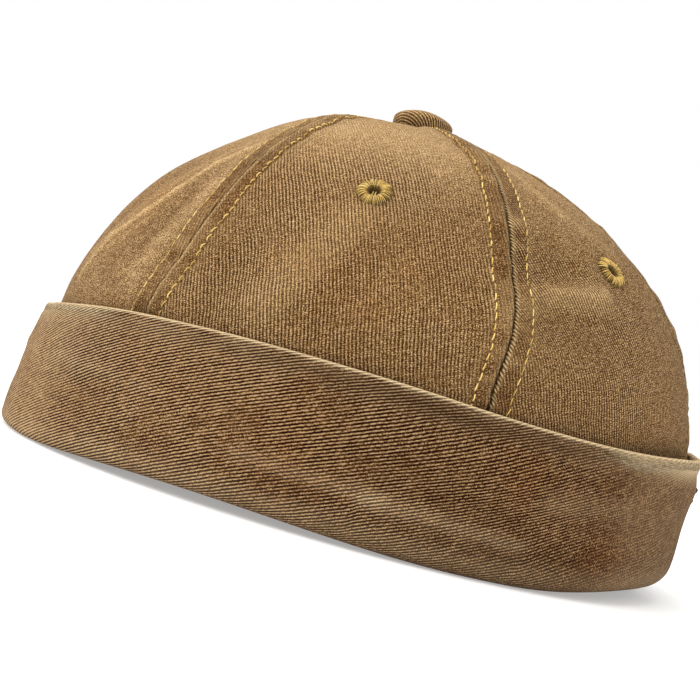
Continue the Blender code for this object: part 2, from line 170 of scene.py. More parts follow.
# painted highlights (positive) and painted shade (negative) along ridges, creases and dents, and a paler band near the
# top
CROWN_PAINTED_LIGHT = (
    # angle, height, toward_angle, toward_height, half_width, amount
    (35.5,   48.0,   39.0,         61.0,          1.4,        0.55),
    (39.0,   61.0,   44.5,         69.0,          1.4,        0.80),
    (44.5,   69.0,   49.0,         77.0,          1.3,        0.80),
    (49.0,   77.0,   52.0,         87.0,          1.2,        0.80),
    (52.0,   87.0,   56.0,         97.0,          1.2,        0.75),
    (41.0,   58.0,   48.0,         68.0,          1.6,        0.30),
    (55.8,   50.0,   58.5,         78.0,          4.2,        0.42),
    (58.5,   78.0,   57.5,         92.0,          3.2,        0.42),
    (52.5,   58.0,   54.8,         77.0,          2.2,        -0.28),
    (46.0,   50.0,   50.0,         66.0,          4.0,        -0.22),
    (28.0,   52.0,   38.0,         86.0,          3.0,        -0.20),
    (131.0,  105.0,  137.0,        95.0,          2.2,        0.50),
    (104.5,  96.1,   108.0,        97.3,          1.0,        0.60),
    (72.0,   60.0,   76.0,         44.0,          7.0,        -0.12),
    (92.0,   50.0,   104.0,        46.0,          8.0,        -0.15),
    (70.0,   104.0,  112.0,        104.0,         9.0,        0.30),
    (-34.0,  50.0,   -48.0,        86.0,          1.6,        0.60),
    (-56.0,  52.0,   -58.5,        86.0,          4.0,        0.40),
    (-130.0, 104.0,  -136.0,       94.0,          2.2,        0.50),
    (-75.0,  104.0,  -112.0,       104.0,         9.0,        0.30),
)

CUFF_FOLDS = (
    (84.0,   12.0,   128.0,        10.0,          6.0,        0.7),
    (104.0,  19.0,   126.0,        16.0,          5.0,        -0.9),
    (95.0,   34.0,   122.0,        33.5,          3.5,        -0.5),
    (-76.0,  13.0,   -104.0,       12.0,          6.0,        0.6),
    (-118.0, 13.0,   -140.0,       12.0,          6.0,        0.6),
    (-20.0,  18.0,   20.0,         16.0,          6.0,        -0.5),
    (187.0,  10.0,   187.1,        31.0,          18.0,       -2.4),
    (174.8,  10.0,   174.9,        31.0,          7.0,        0.6),
    (199.2,  10.0,   199.3,        31.0,          7.0,        0.6),
    (181.5,  33.0,   183.0,        33.0,          4.5,        1.9),
)

CUFF_CREASES = (
    # angle, height, toward_angle, toward_height, half_width, depth
    (88.0,   14.5,   108.0,        13.0,          2.2,        0.45),
    (106.0,  12.5,   128.0,        10.5,          2.4,        0.55),
    (106.0,  18.5,   128.0,        14.5,          2.0,        -0.55),
    (97.0,   35.2,   122.0,        34.3,          1.1,        -0.40),
    (52.0,   20.0,   66.0,         17.5,          2.0,        -0.30),
    (50.0,   25.0,   70.0,         23.0,          2.0,        0.25),
    (131.0,  22.0,   146.0,        24.0,          3.0,        0.35),
    (-60.0,  22.0,   -84.0,        20.0,          2.2,        -0.35),
    (-96.0,  28.0,   -120.0,       30.0,          2.2,        0.35),
    (20.0,   26.0,   40.0,         24.0,          2.5,        0.35),
)

# small corrections of the crown's outline, mm outward
CROWN_FIT = (
    # angle, height, toward_angle, toward_height, half_width, depth
    (58.0,   117.2,  100.0,        117.2,         5.0,        -1.1),
    (128.0,  112.5,  146.0,        112.0,         9.0,        -0.8),
    (148.0,  111.5,  168.0,        104.0,         9.0,        -0.8),
    (170.0,  98.0,   173.0,        76.0,          8.0,        -1.0),
    (176.0,  60.0,   176.5,        52.5,          5.0,        -1.8),
    (171.0,  39.5,   184.0,        39.5,          4.6,        1.9),
    (21.0,   64.0,   27.0,         82.0,          7.0,        0.5),
)

# the same for the cuff
CUFF_FIT = (
    (171.0,  34.5,   175.5,        33.0,          4.4,        1.0),
    (178.0,  43.5,   186.0,        43.5,          5.5,        -2.0),
    (30.0,   39.5,   32.0,         39.5,          4.0,        -0.8),
)

# how much higher the soft rolled edge stands than the mean edge: (mm round the cuff, height)
EDGE_LIFT = ((0.0, 0.8), (60.0, 0.9), (150.0, 1.1), (250.0, 0.9), (330.0, 1.0), (365.0, 0.85), (380.0, 1.05), (398.0, 0.95),
             (415.0, 0.7), (428.0, 0.8), (443.0, 0.85), (453.0, 1.0), (468.0, 1.25), (479.0, 1.35), (494.0, 1.05),
             (505.0, 1.0), (526.0, 0.75), (540.0, 0.65), (558.0, 0.8))

# how far the worn ribs have drifted, mm: (across, up, shift)
SIDE_FLOW = (
    (-45, 36, -0.19), (-45, 51, 0.69), (-45, 66, 0.83), (-45, 81, 0.53), (-45, 96, 0.49), (-30, 36, -0.72), (-30, 51, 0.50),
    (-30, 66, 0.43), (-30, 81, 0.14), (-30, 96, 0.75), (-15, 36, -0.99), (-15, 51, -0.23), (-15, 66, -0.30), (-15, 81, -0.51),
    (0, 36, -0.90), (0, 51, 0.21), (0, 66, -0.23), (0, 81, -0.71), (0, 96, -0.23), (15, 36, -0.97), (15, 51, 0.10),
    (15, 66, -0.48), (15, 81, -0.58), (15, 96, 0.18), (30, 36, -0.63), (30, 51, -0.09), (30, 81, 0.49), (30, 96, 0.57),
    (45, 36, -0.19), (45, 66, 0.24), (45, 81, 0.37), (45, 96, 0.22),
)
CUFF_FLOW = (
    (370, -12, 0.27), (370, -2, 0.36), (370, 8, 0.19), (389, -12, 0.11), (389, 8, -0.32), (389, 18, -0.12), (408, -12, 0.11),
    (408, 8, -0.14), (427, -2, -0.12), (427, 8, -0.27), (446, -12, -0.18), (465, -12, 0.14), (484, -12, -0.19),
    (484, -2, 0.37), (484, 8, -0.14), (484, 18, 0.23), (503, -12, -1.20), (503, -2, 0.81), (503, 8, 0.16), (522, -12, -1.82),
    (522, -2, -0.66), (522, 18, -0.31), (541, -12, -1.24), (541, -2, -1.37), (541, 8, -0.23),
)

# how the seams wander along their height, degrees from their plan angle
SEAM_WANDER = {
    "left_front": ((38.0, -0.9), (44.0, -0.4), (59.0, 0.9), (75.0, 0.7), (84.0, 0.2), (91.0, -0.6),
                   (98.0, -1.6), (107.0, -2.3), (119.0, -2.3)),
    "left_back": ((38.0, -0.2), (49.0, -0.3), (60.0, 0.5), (67.0, 0.3), (73.0, -0.5), (80.0, -0.3),
                  (87.0, 0.0), (96.0, 0.7), (101.0, 0.6), (110.0, 1.6), (119.0, 1.6)),
}

# distance of the topstitching from the seam, mm: (height, distance)
STITCH_AT = {
    ("left_front", -1): ((40.0, 5.4), (52.0, 5.1), (66.0, 5.6), (78.0, 4.8), (90.0, 5.6), (99.0, 5.4), (108.0, 4.6)),
    ("left_front", 1): ((40.0, 5.0), (54.0, 5.1), (65.0, 4.6), (74.0, 5.1), (90.0, 4.5), (101.0, 4.2), (108.0, 4.4)),
    ("left_back", -1): ((40.0, 4.0), (54.0, 4.0), (59.0, 4.5), (68.0, 5.1), (90.0, 5.1), (98.0, 4.6), (109.0, 3.8)),
    ("left_back", 1): ((40.0, 5.1), (46.0, 5.4), (60.0, 5.0), (67.0, 4.8), (72.0, 4.1), (79.0, 4.6), (86.0, 5.0),
                       (100.0, 4.9), (109.0, 4.8)),
}

# ------------------------------------------------------------ sizes of the details
SEAM_RISE = 0.70          # the stitched allowance stands out
SEAM_END = 6.1            # where the allowance ends, from the seam
SEAM_ROUND = 0.70         # rounding of each panel's turned edge
SEAM_DROP = 0.80          # depth of the groove between two turned edges
STITCH_PITCH = 2.6
STITCH_LENGTH = 2.15
THREAD_R = 0.185
PUCKER = 0.72
PUCKER_PITCH = 9.0

CROWN_WALE = (0.90, 20.5, 0.63, -0.10)   # rib pitch, lean from the panel's centreline, step along a rib, shift per rib
CUFF_WALE = (0.86, 23.0, 1.75, -0.386)   # rib pitch, rise from the cuff's length, step, shift


# ------------------------------------------------------------ small maths
def smooth(x):
    x = np.clip(x, 0.0, 1.0)
    return x * x * (3 - 2 * x)


def bump(t, centre, half_span):
    d = np.abs((t - centre + 180.0) % 360.0 - 180.0) / half_span
    return np.where(d < 1.0, np.cos(np.minimum(d, 1.0) * np.pi / 2) ** 2, 0.0)


def gauss(x, sigma):
    return np.exp(-0.5 * (x / sigma) ** 2)


def spline(x, y, end_slope=None):
    x, y = np.asarray(x, float), np.asarray(y, float)
    n = len(x)
    h = np.diff(x)
    a = np.zeros((n, n))
    r = np.zeros(n)
    a[0, 0] = 1.0
    for i in range(1, n - 1):
        a[i, i - 1:i + 2] = h[i - 1], 2 * (h[i - 1] + h[i]), h[i]
        r[i] = 6 * ((y[i + 1] - y[i]) / h[i] - (y[i] - y[i - 1]) / h[i - 1])
    if end_slope is None:
        a[-1, -1] = 1.0
    else:
        a[-1, -2:] = h[-1], 2 * h[-1]
        r[-1] = 6 * (end_slope - (y[-1] - y[-2]) / h[-1])
    m = np.linalg.solve(a, r)

    def at(q):
        q = np.asarray(q, float)
        i = np.clip(np.searchsorted(x, q) - 1, 0, n - 2)
        d0, d1 = x[i + 1] - q, q - x[i]
        return (m[i] * d0 ** 3 + m[i + 1] * d1 ** 3) / (6 * h[i]) \
            + (y[i] / h[i] - m[i] * h[i] / 6) * d0 + (y[i + 1] / h[i] - m[i + 1] * h[i] / 6) * d1
    return at


_rng = np.random.default_rng(41)
_PERM = _rng.permutation(256)
_GRAD = _rng.normal(size=(256, 3))
_GRAD /= np.linalg.norm(_GRAD, axis=1, keepdims=True)


def noise3(p, size, seed=0):
    """Smooth noise of about -1 to 1 over points in mm; size is the width of its lumps."""
    q = np.asarray(p, float) / size + seed * 17.31
    i = np.floor(q).astype(int)
    f = q - i
    w = f * f * f * (f * (f * 6 - 15) + 10)
    out = np.zeros(q.shape[:-1])
    for dx in (0, 1):
        for dy in (0, 1):
            for dz in (0, 1):
                h = _PERM[(i[..., 0] + dx) & 255]
                h = _PERM[(h + i[..., 1] + dy) & 255]
                h = _PERM[(h + i[..., 2] + dz) & 255]
                g = _GRAD[h]
                dot = g[..., 0] * (f[..., 0] - dx) + g[..., 1] * (f[..., 1] - dy) + g[..., 2] * (f[..., 2] - dz)
                k = (w[..., 0] if dx else 1 - w[..., 0]) * (w[..., 1] if dy else 1 - w[..., 1]) \
                    * (w[..., 2] if dz else 1 - w[..., 2])
                out += k * dot
    return out * 1.8


def noise1(v, size, seed=0):
    v = np.asarray(v, float)
    return noise3(np.stack([v, np.full_like(v, seed * 5.17), np.full_like(v, seed * 2.71)], -1), size, seed)


# ------------------------------------------------------------ forms shared with the CAD
def outline(t, front, back, half):
    a = np.radians(t)
    x = half * np.sin(a) * (1.0 - EGG * np.cos(a))
    y = (back - front) / 2.0 - (back + front) / 2.0 * np.cos(a) + CENTRE_Y
    return x, y


def lift(t):
    return sum(h * bump(t, c, w) for c, w, h in RIM_LIFTS)


def rim(t):
    a = np.radians(t)
    c, w, h = RIM_PEAK
    return RIM_MEAN + sum(k * np.cos((i + 1) * a) for i, k in enumerate(RIM_WAVE)) + h * bump(t, c, w)


def fold_height(table, t, z, across):
    total = np.zeros(np.broadcast(t, z).shape)
    for t0, z0, t1, z1, width, depth in table:
        d = (t - t0 + 180.0) % 360.0 - 180.0
        px, pz = d * across, z - z0
        lx, lz = ((t1 - t0 + 180.0) % 360.0 - 180.0) * across, z1 - z0
        ll = lx * lx + lz * lz
        k = np.clip((px * lx + pz * lz) / ll, 0.0, 1.0)
        r2 = (px - k * lx) ** 2 + (pz - k * lz) ** 2
        total = total + depth * np.exp(-r2 / (2 * (width * 0.62) ** 2))
    return total


_c = np.array(CUFF_SECTIONS)
cuff_front, cuff_back, cuff_half = (spline(_c[:, 0], _c[:, k]) for k in (1, 2, 3))


def flow(table, u, v, spread_u, spread_v):
    return sum(k * np.exp(-0.5 * (((u - a) / spread_u) ** 2 + ((v - b) / spread_v) ** 2)) for a, b, k in table)


def cuff_xy(t, z, inset=0.0, folds=True):
    lo, hi = lift(t), rim(t)
    f = np.clip((z - lo) / (hi - lo), 0.0, 1.0)
    out = fold_height(CUFF_FOLDS, t, z, 1.55) * smooth((hi - z) / 5.0) * smooth((z - lo) / 4.0) if folds else 0.0
    d = out - inset
    return outline(t, cuff_front(f) + d, cuff_back(f) + d, cuff_half(f) + d)


_k = np.array(CROWN_SECTIONS)
_mean = (_k[:, 1] + _k[:, 2] + 2 * _k[:, 3]) / 4
_s = np.concatenate([[0.0], np.cumsum(np.hypot(np.diff(_k[:, 0]), np.diff(_mean)))])
_s = _s / _s[-1]
crown_z = spline(_s, _k[:, 0], end_slope=0.0)
crown_front, crown_back, crown_half = (spline(_s, _k[:, k]) for k in (1, 2, 3))
_zs = crown_z(np.linspace(0, 1, 4001))


def crown_s(z):
    return np.interp(z, _zs, np.linspace(0, 1, 4001))


def crown_point(s, t, raise_by=0.0):
    s, t = np.broadcast_arrays(np.asarray(s, float), np.asarray(t, float))
    z = crown_z(s)
    z = z + lift(t) * (1 - smooth((z - CROWN_EDGE) / 22.0))
    fade = smooth((z - FREE_TO) / 10.0) * smooth((113.0 - z) / 12.0)
    d = raise_by + fold_height(CROWN_FOLDS, t, z, 1.45) * fade
    x, y = outline(t, crown_front(s) + d, crown_back(s) + d, crown_half(s) + d)
    qx, qy = cuff_xy(t, z, CUFF_WALL + TUCK, folds=False)
    k = smooth((z - FREE_FROM) / (FREE_TO - FREE_FROM))
    return np.stack([qx * (1 - k) + x * k, qy * (1 - k) + y * k, z], -1)


def crown_normal(s, t):
    e = 1e-3
    ds = crown_point(np.minimum(s + e, 1.0), t) - crown_point(np.minimum(s + e, 1.0) - 2 * e, t)
    dt = crown_point(s, t + 0.2) - crown_point(s, t - 0.2)
    n = np.cross(dt, ds)
    return n / np.linalg.norm(n, axis=-1, keepdims=True)


def back_point(u, z, off):
    a, b = (np.array(cuff_xy(STRAP_T + k, STRAP_Z, 0.0)) for k in (-1.0, 1.0))
    per_degree = np.linalg.norm(b - a) / 2
    u, z, off = np.broadcast_arrays(np.asarray(u, float), np.asarray(z, float), np.asarray(off, float))
    x, y = cuff_xy(STRAP_T + u / per_degree, z, -off)
    return np.stack([x, y, z], -1)


def axes_at(normal):
    """Rows: across, up the surface, outward."""
    n = Vector(normal).normalized()
    x = Vector((0, 0, 1)).cross(n).normalized()
    return np.array([x, n.cross(x), n])


# ------------------------------------------------------------ mesh helpers
def build(name, verts_mm, faces, material, weave=None, marks_and_shade=None, smooth_angle=60.0, recalc=True, form=None, hem=None):
    verts_mm = np.asarray(verts_mm, float)
    used = np.zeros(len(verts_mm), bool)
    for f in faces:
        used[list(f)] = True
    if not used.all():
        new_id = np.cumsum(used) - 1
        faces = [[int(new_id[v]) for v in f] for f in faces]
        verts_mm = verts_mm[used]
        weave, marks_and_shade, form, hem = (None if v is None else np.asarray(v)[used] for v in (weave, marks_and_shade, form, hem))
    mesh = bpy.data.meshes.new(name)
    mesh.from_pydata((verts_mm * MM).tolist(), [], faces)
    if recalc:
        bm = bmesh.new()
        bm.from_mesh(mesh)
        bmesh.ops.recalc_face_normals(bm, faces=bm.faces)
        bm.to_mesh(mesh)
        bm.free()
    for key, values in (("weave", weave), ("marks_and_shade", marks_and_shade), ("form", form), ("hem", hem)):
        if key == "hem" and values is None:
            continue
        values = np.zeros((len(verts_mm), 3)) if values is None else values
        a = mesh.attributes.new(key, "FLOAT_VECTOR", "POINT")
        a.data.foreach_set("vector", np.asarray(values, np.float32).ravel())
    ob = bpy.data.objects.new(name, mesh)
    bpy.context.scene.collection.objects.link(ob)
    mesh.materials.append(material)
    mesh.shade_smooth()
    if smooth_angle is not None:
        mesh.set_sharp_from_angle(angle=math.radians(smooth_angle))
    return ob


def grid_faces(rows, cols, start=0, wrap_rows=False, wrap_cols=False, flip=False):
    r = np.arange(rows if wrap_rows else rows - 1)
    c = np.arange(cols if wrap_cols else cols - 1)
    rr, cc = np.meshgrid(r, c, indexing="ij")
    r1, c1 = (rr + 1) % rows, (cc + 1) % cols
    f = np.stack([rr * cols + cc, rr * cols + c1, r1 * cols + c1, r1 * cols + cc], -1).reshape(-1, 4) + start
    return (f[:, ::-1] if flip else f).tolist()


def zipper(fine, coarse, at):
    """Triangles between a fine run of vertex ids and a coarse one; coarse[k] sits at fine[at[k]]."""
    out = []
    for k in range(len(coarse) - 1):
        a, b = at[k], at[k + 1]
        mid = (a + b + 1) // 2
        out += [(fine[i], fine[i + 1], coarse[k]) for i in range(a, mid)]
        out.append((fine[mid], coarse[k + 1], coarse[k]))
        out += [(fine[i], fine[i + 1], coarse[k + 1]) for i in range(mid, b)]
    return out


def polar(verts, ids, c, ax):
    p = (verts[ids] - c) @ ax.T
    return np.hypot(p[:, 0], p[:, 1]), np.arctan2(p[:, 1], p[:, 0]) % (2 * math.pi), p[:, 2]


def open_round(verts, faces, c, ax, radius, reach):
    """Faces without those that come within a radius of an axis, and the edge left, in order of angle."""
    ids = np.arange(len(verts))
    rho, _, h = polar(verts, ids, c, ax)
    near = (rho < radius) & (np.abs(h) < reach)
    kept, gone = [], []
    for f in faces:
        (gone if any(near[v] for v in f) else kept).append(f)
    used = set(v for f in kept for v in f)
    loop = sorted({v for f in gone for v in f if v in used})
    _, ang, _ = polar(verts, np.array(loop), c, ax)
    return kept, [loop[i] for i in np.argsort(ang)]


def bridge(verts, loop_a, loop_b, c, ax):
    """Triangles between two closed loops round an axis, both in order of angle."""
    _, aa, _ = polar(verts, np.array(loop_a), c, ax)
    _, ab, _ = polar(verts, np.array(loop_b), c, ax)
    start = int(np.argmin(np.abs((ab - aa[0] + math.pi) % (2 * math.pi) - math.pi)))
    loop_b, ab = loop_b[start:] + loop_b[:start], np.concatenate([ab[start:], ab[:start]])
    na, nb = len(loop_a), len(loop_b)
    ra = np.unwrap(np.append(aa, aa[0] + 2 * math.pi)) - aa[0]
    rb = np.unwrap(np.append(ab, ab[0] + 2 * math.pi)) - aa[0]
    rb -= 2 * math.pi * round((rb[0]) / (2 * math.pi))
    i = j = 0
    out = []
    while i < na or j < nb:
        if j >= nb or (i < na and ra[i + 1] <= rb[j + 1]):
            out.append((loop_a[i], loop_a[(i + 1) % na], loop_b[j % nb]))
            i += 1
        else:
            out.append((loop_a[i % na], loop_b[(j + 1) % nb], loop_b[j]))
            j += 1
    return out


def tubes(paths, radius, sides=6):
    """Capped tubes along paths (n, k, 3); radius is one number or (n, k)."""
    paths = np.asarray(paths, float)
    n, k = paths.shape[:2]
    radius = np.broadcast_to(radius, (n, k))
    tangent = np.gradient(paths, axis=1)
    tangent /= np.linalg.norm(tangent, axis=-1, keepdims=True) + 1e-12
    ref = np.where(np.abs(tangent[..., 2:3]) < 0.8, np.array([0, 0, 1.0]), np.array([1.0, 0, 0]))
    ref = np.broadcast_to(ref[:, :1], paths.shape)
    a = np.cross(tangent, ref)
    a /= np.linalg.norm(a, axis=-1, keepdims=True)
    b = np.cross(tangent, a)
    ang = np.arange(sides) * 2 * np.pi / sides
    rings = paths[:, :, None] + radius[..., None, None] * (
        a[:, :, None] * np.cos(ang)[None, None, :, None] + b[:, :, None] * np.sin(ang)[None, None, :, None])
    verts = rings.reshape(-1, 3)
    length = np.concatenate([np.zeros((n, 1)), np.cumsum(np.linalg.norm(np.diff(paths, axis=1), axis=-1), 1)], 1)
    weave = np.stack([np.broadcast_to((ang / (2 * np.pi))[None, None], (n, k, sides)),
                      np.broadcast_to(length[..., None], (n, k, sides)),
                      np.broadcast_to(np.arange(n)[:, None, None] * 0.37, (n, k, sides))], -1).reshape(-1, 3)
    faces = []
    for i in range(n):
        base = i * k * sides
        faces += grid_faces(k, sides, base, wrap_cols=True)
        faces.append(list(range(base + sides - 1, base - 1, -1)))
        faces.append(list(range(base + (k - 1) * sides, base + k * sides)))
    return verts, faces, weave


# ------------------------------------------------------------ shader helpers
class Sock:
    """An output of a node, with arithmetic that adds Math nodes."""

    def __init__(self, tree, out):
        self.tree, self.out = tree, out

    def math(self, op, *others, clamp=False):
        n = self.tree.nodes.new("ShaderNodeMath")
        n.operation, n.use_clamp = op, clamp
        for i, v in enumerate((self,) + others):
            if isinstance(v, Sock):
                self.tree.links.new(v.out, n.inputs[i])
            else:
                n.inputs[i].default_value = float(v)
        return Sock(self.tree, n.outputs[0])

    def __add__(self, o):
        return self.math("ADD", o)

    def __sub__(self, o):
        return self.math("SUBTRACT", o)

    def __rsub__(self, o):
        return self.math("MULTIPLY", -1.0).math("ADD", o)

    def __mul__(self, o):
        return self.math("MULTIPLY", o)

    __radd__, __rmul__ = __add__, __mul__

    def __truediv__(self, o):
        return self.math("DIVIDE", o)

    def pow(self, e):
        return self.math("POWER", e)

    def wave(self):
        """0 to 1 and back over each whole turn, 1 at whole numbers"""
        return (self * (2 * math.pi)).math("COSINE").math("MULTIPLY_ADD", 0.5, 0.5)

    def floor(self):
        return self.math("FLOOR")

    def clamp(self):
        return self.math("ADD", 0.0, clamp=True)

    def ramp(self, low, high):
        n = self.tree.nodes.new("ShaderNodeMapRange")
        n.interpolation_type = "SMOOTHSTEP"
        n.inputs["From Min"].default_value, n.inputs["From Max"].default_value = low, high
        self.tree.links.new(self.out, n.inputs["Value"])
        return Sock(self.tree, n.outputs["Result"])


def linear(r, g, b):
    """sRGB 0-255 to linear"""
    return tuple((c / 255 / 12.92) if c <= 10 else ((c / 255 + 0.055) / 1.055) ** 2.4 for c in (r, g, b))


class Shader:
    def __init__(self, name, roughness=0.85, metallic=0.0, sheen=0.0, sheen_rough=0.5, sheen_tint=(1, 1, 1), specular=0.2,
                 coat=0.0):
        self.mat = bpy.data.materials.new(name)
        self.mat.use_nodes = True
        self.tree = self.mat.node_tree
        self.bsdf = self.tree.nodes["Principled BSDF"]
        i = self.bsdf.inputs
        i["Roughness"].default_value = roughness
        i["Metallic"].default_value = metallic
        i["Sheen Weight"].default_value = sheen
        i["Sheen Roughness"].default_value = sheen_rough
        i["Sheen Tint"].default_value = (*sheen_tint, 1.0)
        i["Specular IOR Level"].default_value = specular
        i["Coat Weight"].default_value = coat

    def attribute(self, name):
        n = self.tree.nodes.new("ShaderNodeAttribute")
        n.attribute_name = name
        x = self.tree.nodes.new("ShaderNodeSeparateXYZ")
        self.tree.links.new(n.outputs["Vector"], x.inputs[0])
        return tuple(Sock(self.tree, x.outputs[k]) for k in range(3))

    def vector(self, x, y, z=0.0):
        n = self.tree.nodes.new("ShaderNodeCombineXYZ")
        for k, v in enumerate((x, y, z)):
            if isinstance(v, Sock):
                self.tree.links.new(v.out, n.inputs[k])
            else:
                n.inputs[k].default_value = float(v)
        return Sock(self.tree, n.outputs[0])

    def place(self):
        """Position on the piece, metres"""
        n = self.tree.nodes.new("ShaderNodeTexCoord")
        return Sock(self.tree, n.outputs["Object"])

    def noise(self, vector, scale, detail=2.0, roughness=0.5):
        n = self.tree.nodes.new("ShaderNodeTexNoise")
        n.inputs["Scale"].default_value = scale
        n.inputs["Detail"].default_value = detail
        n.inputs["Roughness"].default_value = roughness
        self.tree.links.new(vector.out, n.inputs["Vector"])
        return Sock(self.tree, n.outputs[0])

    def white(self, vector):
        n = self.tree.nodes.new("ShaderNodeTexWhiteNoise")
        n.noise_dimensions = "3D"
        self.tree.links.new(vector.out, n.inputs["Vector"])
        return Sock(self.tree, n.outputs[0])

    def mix(self, factor, a, b, blend="MIX"):
        n = self.tree.nodes.new("ShaderNodeMix")
        n.data_type, n.blend_type = "RGBA", blend
        n.clamp_factor = True
        for k, v in ((0, factor), (6, a), (7, b)):
            if isinstance(v, Sock):
                self.tree.links.new(v.out, n.inputs[k])
            elif k == 0:
                n.inputs[k].default_value = float(v)
            else:
                n.inputs[k].default_value = (*v, 1.0)
        return Sock(self.tree, n.outputs[2])

    def ramp(self, factor, stops):
        n = self.tree.nodes.new("ShaderNodeValToRGB")
        e = n.color_ramp.elements
        for k, (at, colour) in enumerate(stops):
            el = e[k] if k < 2 else e.new(at)
            el.position = at
            el.color = (*colour, 1.0)
        self.tree.links.new(factor.out, n.inputs[0])
        return Sock(self.tree, n.outputs[0])

    def colour(self, c):
        self.tree.links.new(c.out, self.bsdf.inputs["Base Color"])

    def rough(self, r):
        self.tree.links.new(r.out, self.bsdf.inputs["Roughness"])

    def relief(self, height, distance_m, strength=1.0):
        n = self.tree.nodes.new("ShaderNodeBump")
        n.inputs["Strength"].default_value = strength
        n.inputs["Distance"].default_value = distance_m
        self.tree.links.new(height.out, n.inputs["Height"])
        self.tree.links.new(n.outputs[0], self.bsdf.inputs["Normal"])


def twill(name, wale, deep, ridge, worn, gold, contrast=1.0, speckle=1.0, relief=0.22, waver=0.4, gain=1.0,
          ribs=0.66, dots=0.16, dash=0.30, hem=False, edge_tone=0.25):
    """Washed cotton twill. weave = (mm across the ribs, mm along them, piece),
    the wear marks = (worn, dirt and painted shade, gold tint), form = (how clear the ribs are, rolled edge, painted
    light and random tone)."""
    pitch, lean, step, shift = wale
    sh = Shader(name, roughness=0.92, sheen=0.03, sheen_rough=0.45, sheen_tint=(1.0, 0.86, 0.68), specular=0.05)
    x, y, piece = sh.attribute("weave")
    wear, dirt_and_shade, tint = sh.attribute("marks_and_shade")
    shown, roll, painted_light_and_tone = sh.attribute("form")
    here = sh.vector(x, y, piece * 31.0)
    # the ribs waver
    wob = sh.noise(here, 0.16, 2.0) - 0.5
    wob2 = sh.noise(sh.vector(x * 0.9, y * 0.35, piece * 31.0 + 7.0), 1.1, 1.0) - 0.5
    a = (x + wob * (waver * 1.6) + wob2 * (waver * 0.5)) / pitch
    b = (y + wob * 0.9) / step + (a + 0.5).floor() * shift
    rib = a.wave()
    dot = b.wave()
    cell = sh.white(sh.vector((a + 0.5).floor(), (b + 0.5).floor(), piece + 0.5))
    cell2 = sh.white(sh.vector(a.floor(), (b * 1.6).floor(), piece + 3.5))
    fibre = sh.noise(sh.vector(x * 3.8, y * 2.8, piece * 31.0), 1.0, 1.0, 0.6)
    grain = sh.noise(sh.vector(x, y, piece * 31.0 + 20.0), 3.0, 1.0, 0.7)
    middle = sh.noise(sh.vector(x, y, piece * 31.0 + 70.0), 0.85, 1.0, 0.6)
    # where the ribs show clearly and where wear has blurred them
    clear = (sh.noise(sh.vector(x, y, piece * 31.0 + 50.0), 0.05, 2.0).ramp(0.28, 0.60) * 0.5 + 0.5) * shown
    form = (rib.pow(1.15) - 0.42) * ribs + (rib * dot - 0.25) * dots - (1.0 - rib) * (cell2 - 0.35) * dash
    noisy = (cell - 0.5) * 0.20 + (fibre - 0.5) * 2.0 + (grain - 0.5) * 1.70 + (middle - 0.5) * 0.36
    patch = sh.noise(sh.place(), 40.0, 1.0, 0.5)
    # the form's third channel adds painted light and random tone
    tone = form * clear * contrast + noisy * ((1.0 - shown) * 0.15 + 1.0) * speckle + (patch - 0.5) * 0.06 + 0.46 + painted_light_and_tone * 0.30
    # the dark end of the ramp colours the rib valleys: darker dye there plus painted shade for the valleys' own shadow
    c = sh.ramp(tone, ((0.0, tuple(v * gain for v in deep[0])), (1.0, tuple(v * gain for v in ridge[1])),
                       (0.32, tuple(v * gain for v in deep[1])), (0.66, tuple(v * gain for v in ridge[0]))))
    # hue drifts between golden and reddish brown
    hue = sh.noise(sh.place(), 60.0, 1.0, 0.5)
    c = sh.mix((hue - 0.52).math("MULTIPLY", 2.2, clamp=True) * 0.20 + tint.clamp() * 0.50, c, gold, "SOFT_LIGHT")
    # the ribs run on over the rolled edge, where the dye is worn pale; the dark between its turns is painted shade
    turn = math.radians(lean)
    u = y * math.cos(turn) - x * math.sin(turn)
    v = x * math.cos(turn) + y * math.sin(turn)
    streak = sh.noise(sh.vector(u * 0.5, v * 1.8, 3.0), 1.0, 2.0, 0.6)
    turn_rib, h3 = rib, shown.math("MINIMUM", 1.0)
    if hem:
        hx, hy, h3 = sh.attribute("hem")
        turn_rib = (hx + (streak - 0.5) * 0.5).wave()
    edge = (turn_rib - 0.5) * (0.62 * h3) + (streak - 0.5) * 1.0 + (fibre - 0.5) * 1.3 + roll * 0.20 + edge_tone
    pale = sh.ramp(edge, ((0.05, tuple(v2 * 0.10 for v2 in worn)), (0.85, worn), (0.45, tuple(v2 * 0.42 for v2 in worn))))
    c = sh.mix(roll.ramp(0.0, 0.7), c, pale)
    # pale where the dye is worn off, mostly on the ribs
    if hem:
        turn_rib = rib + (turn_rib - rib) * roll.ramp(0.0, 0.4)
    w = (wear + (grain - 0.5) * 0.7 * wear.ramp(0.0, 0.25)) * ((turn_rib * 1.3 - 0.5) * (shown * 0.8 + 0.2) + 0.75)
    c = sh.mix(w.clamp(), c, worn)
    # darker by dirt and painted shade
    c = sh.mix((dirt_and_shade * (1.30 - rib * 0.85)).clamp(), c, tuple(v2 * 0.20 for v2 in deep[1]))
    sh.colour(c)
    slub = sh.noise(sh.vector(x * 0.7, y * 0.12, piece * 31.0 + 90.0), 1.3, 1.0)
    height = rib * 0.72 * (clear * 0.7 + 0.2) + dot * rib * 0.16 * shown + (cell - 0.5) * 0.14 \
        + (fibre - 0.5) * 0.85 + (slub - 0.5) * 0.22 + roll * (streak * 0.8 + turn_rib * 0.7)
    sh.relief(height, relief * MM)
    return sh.mat


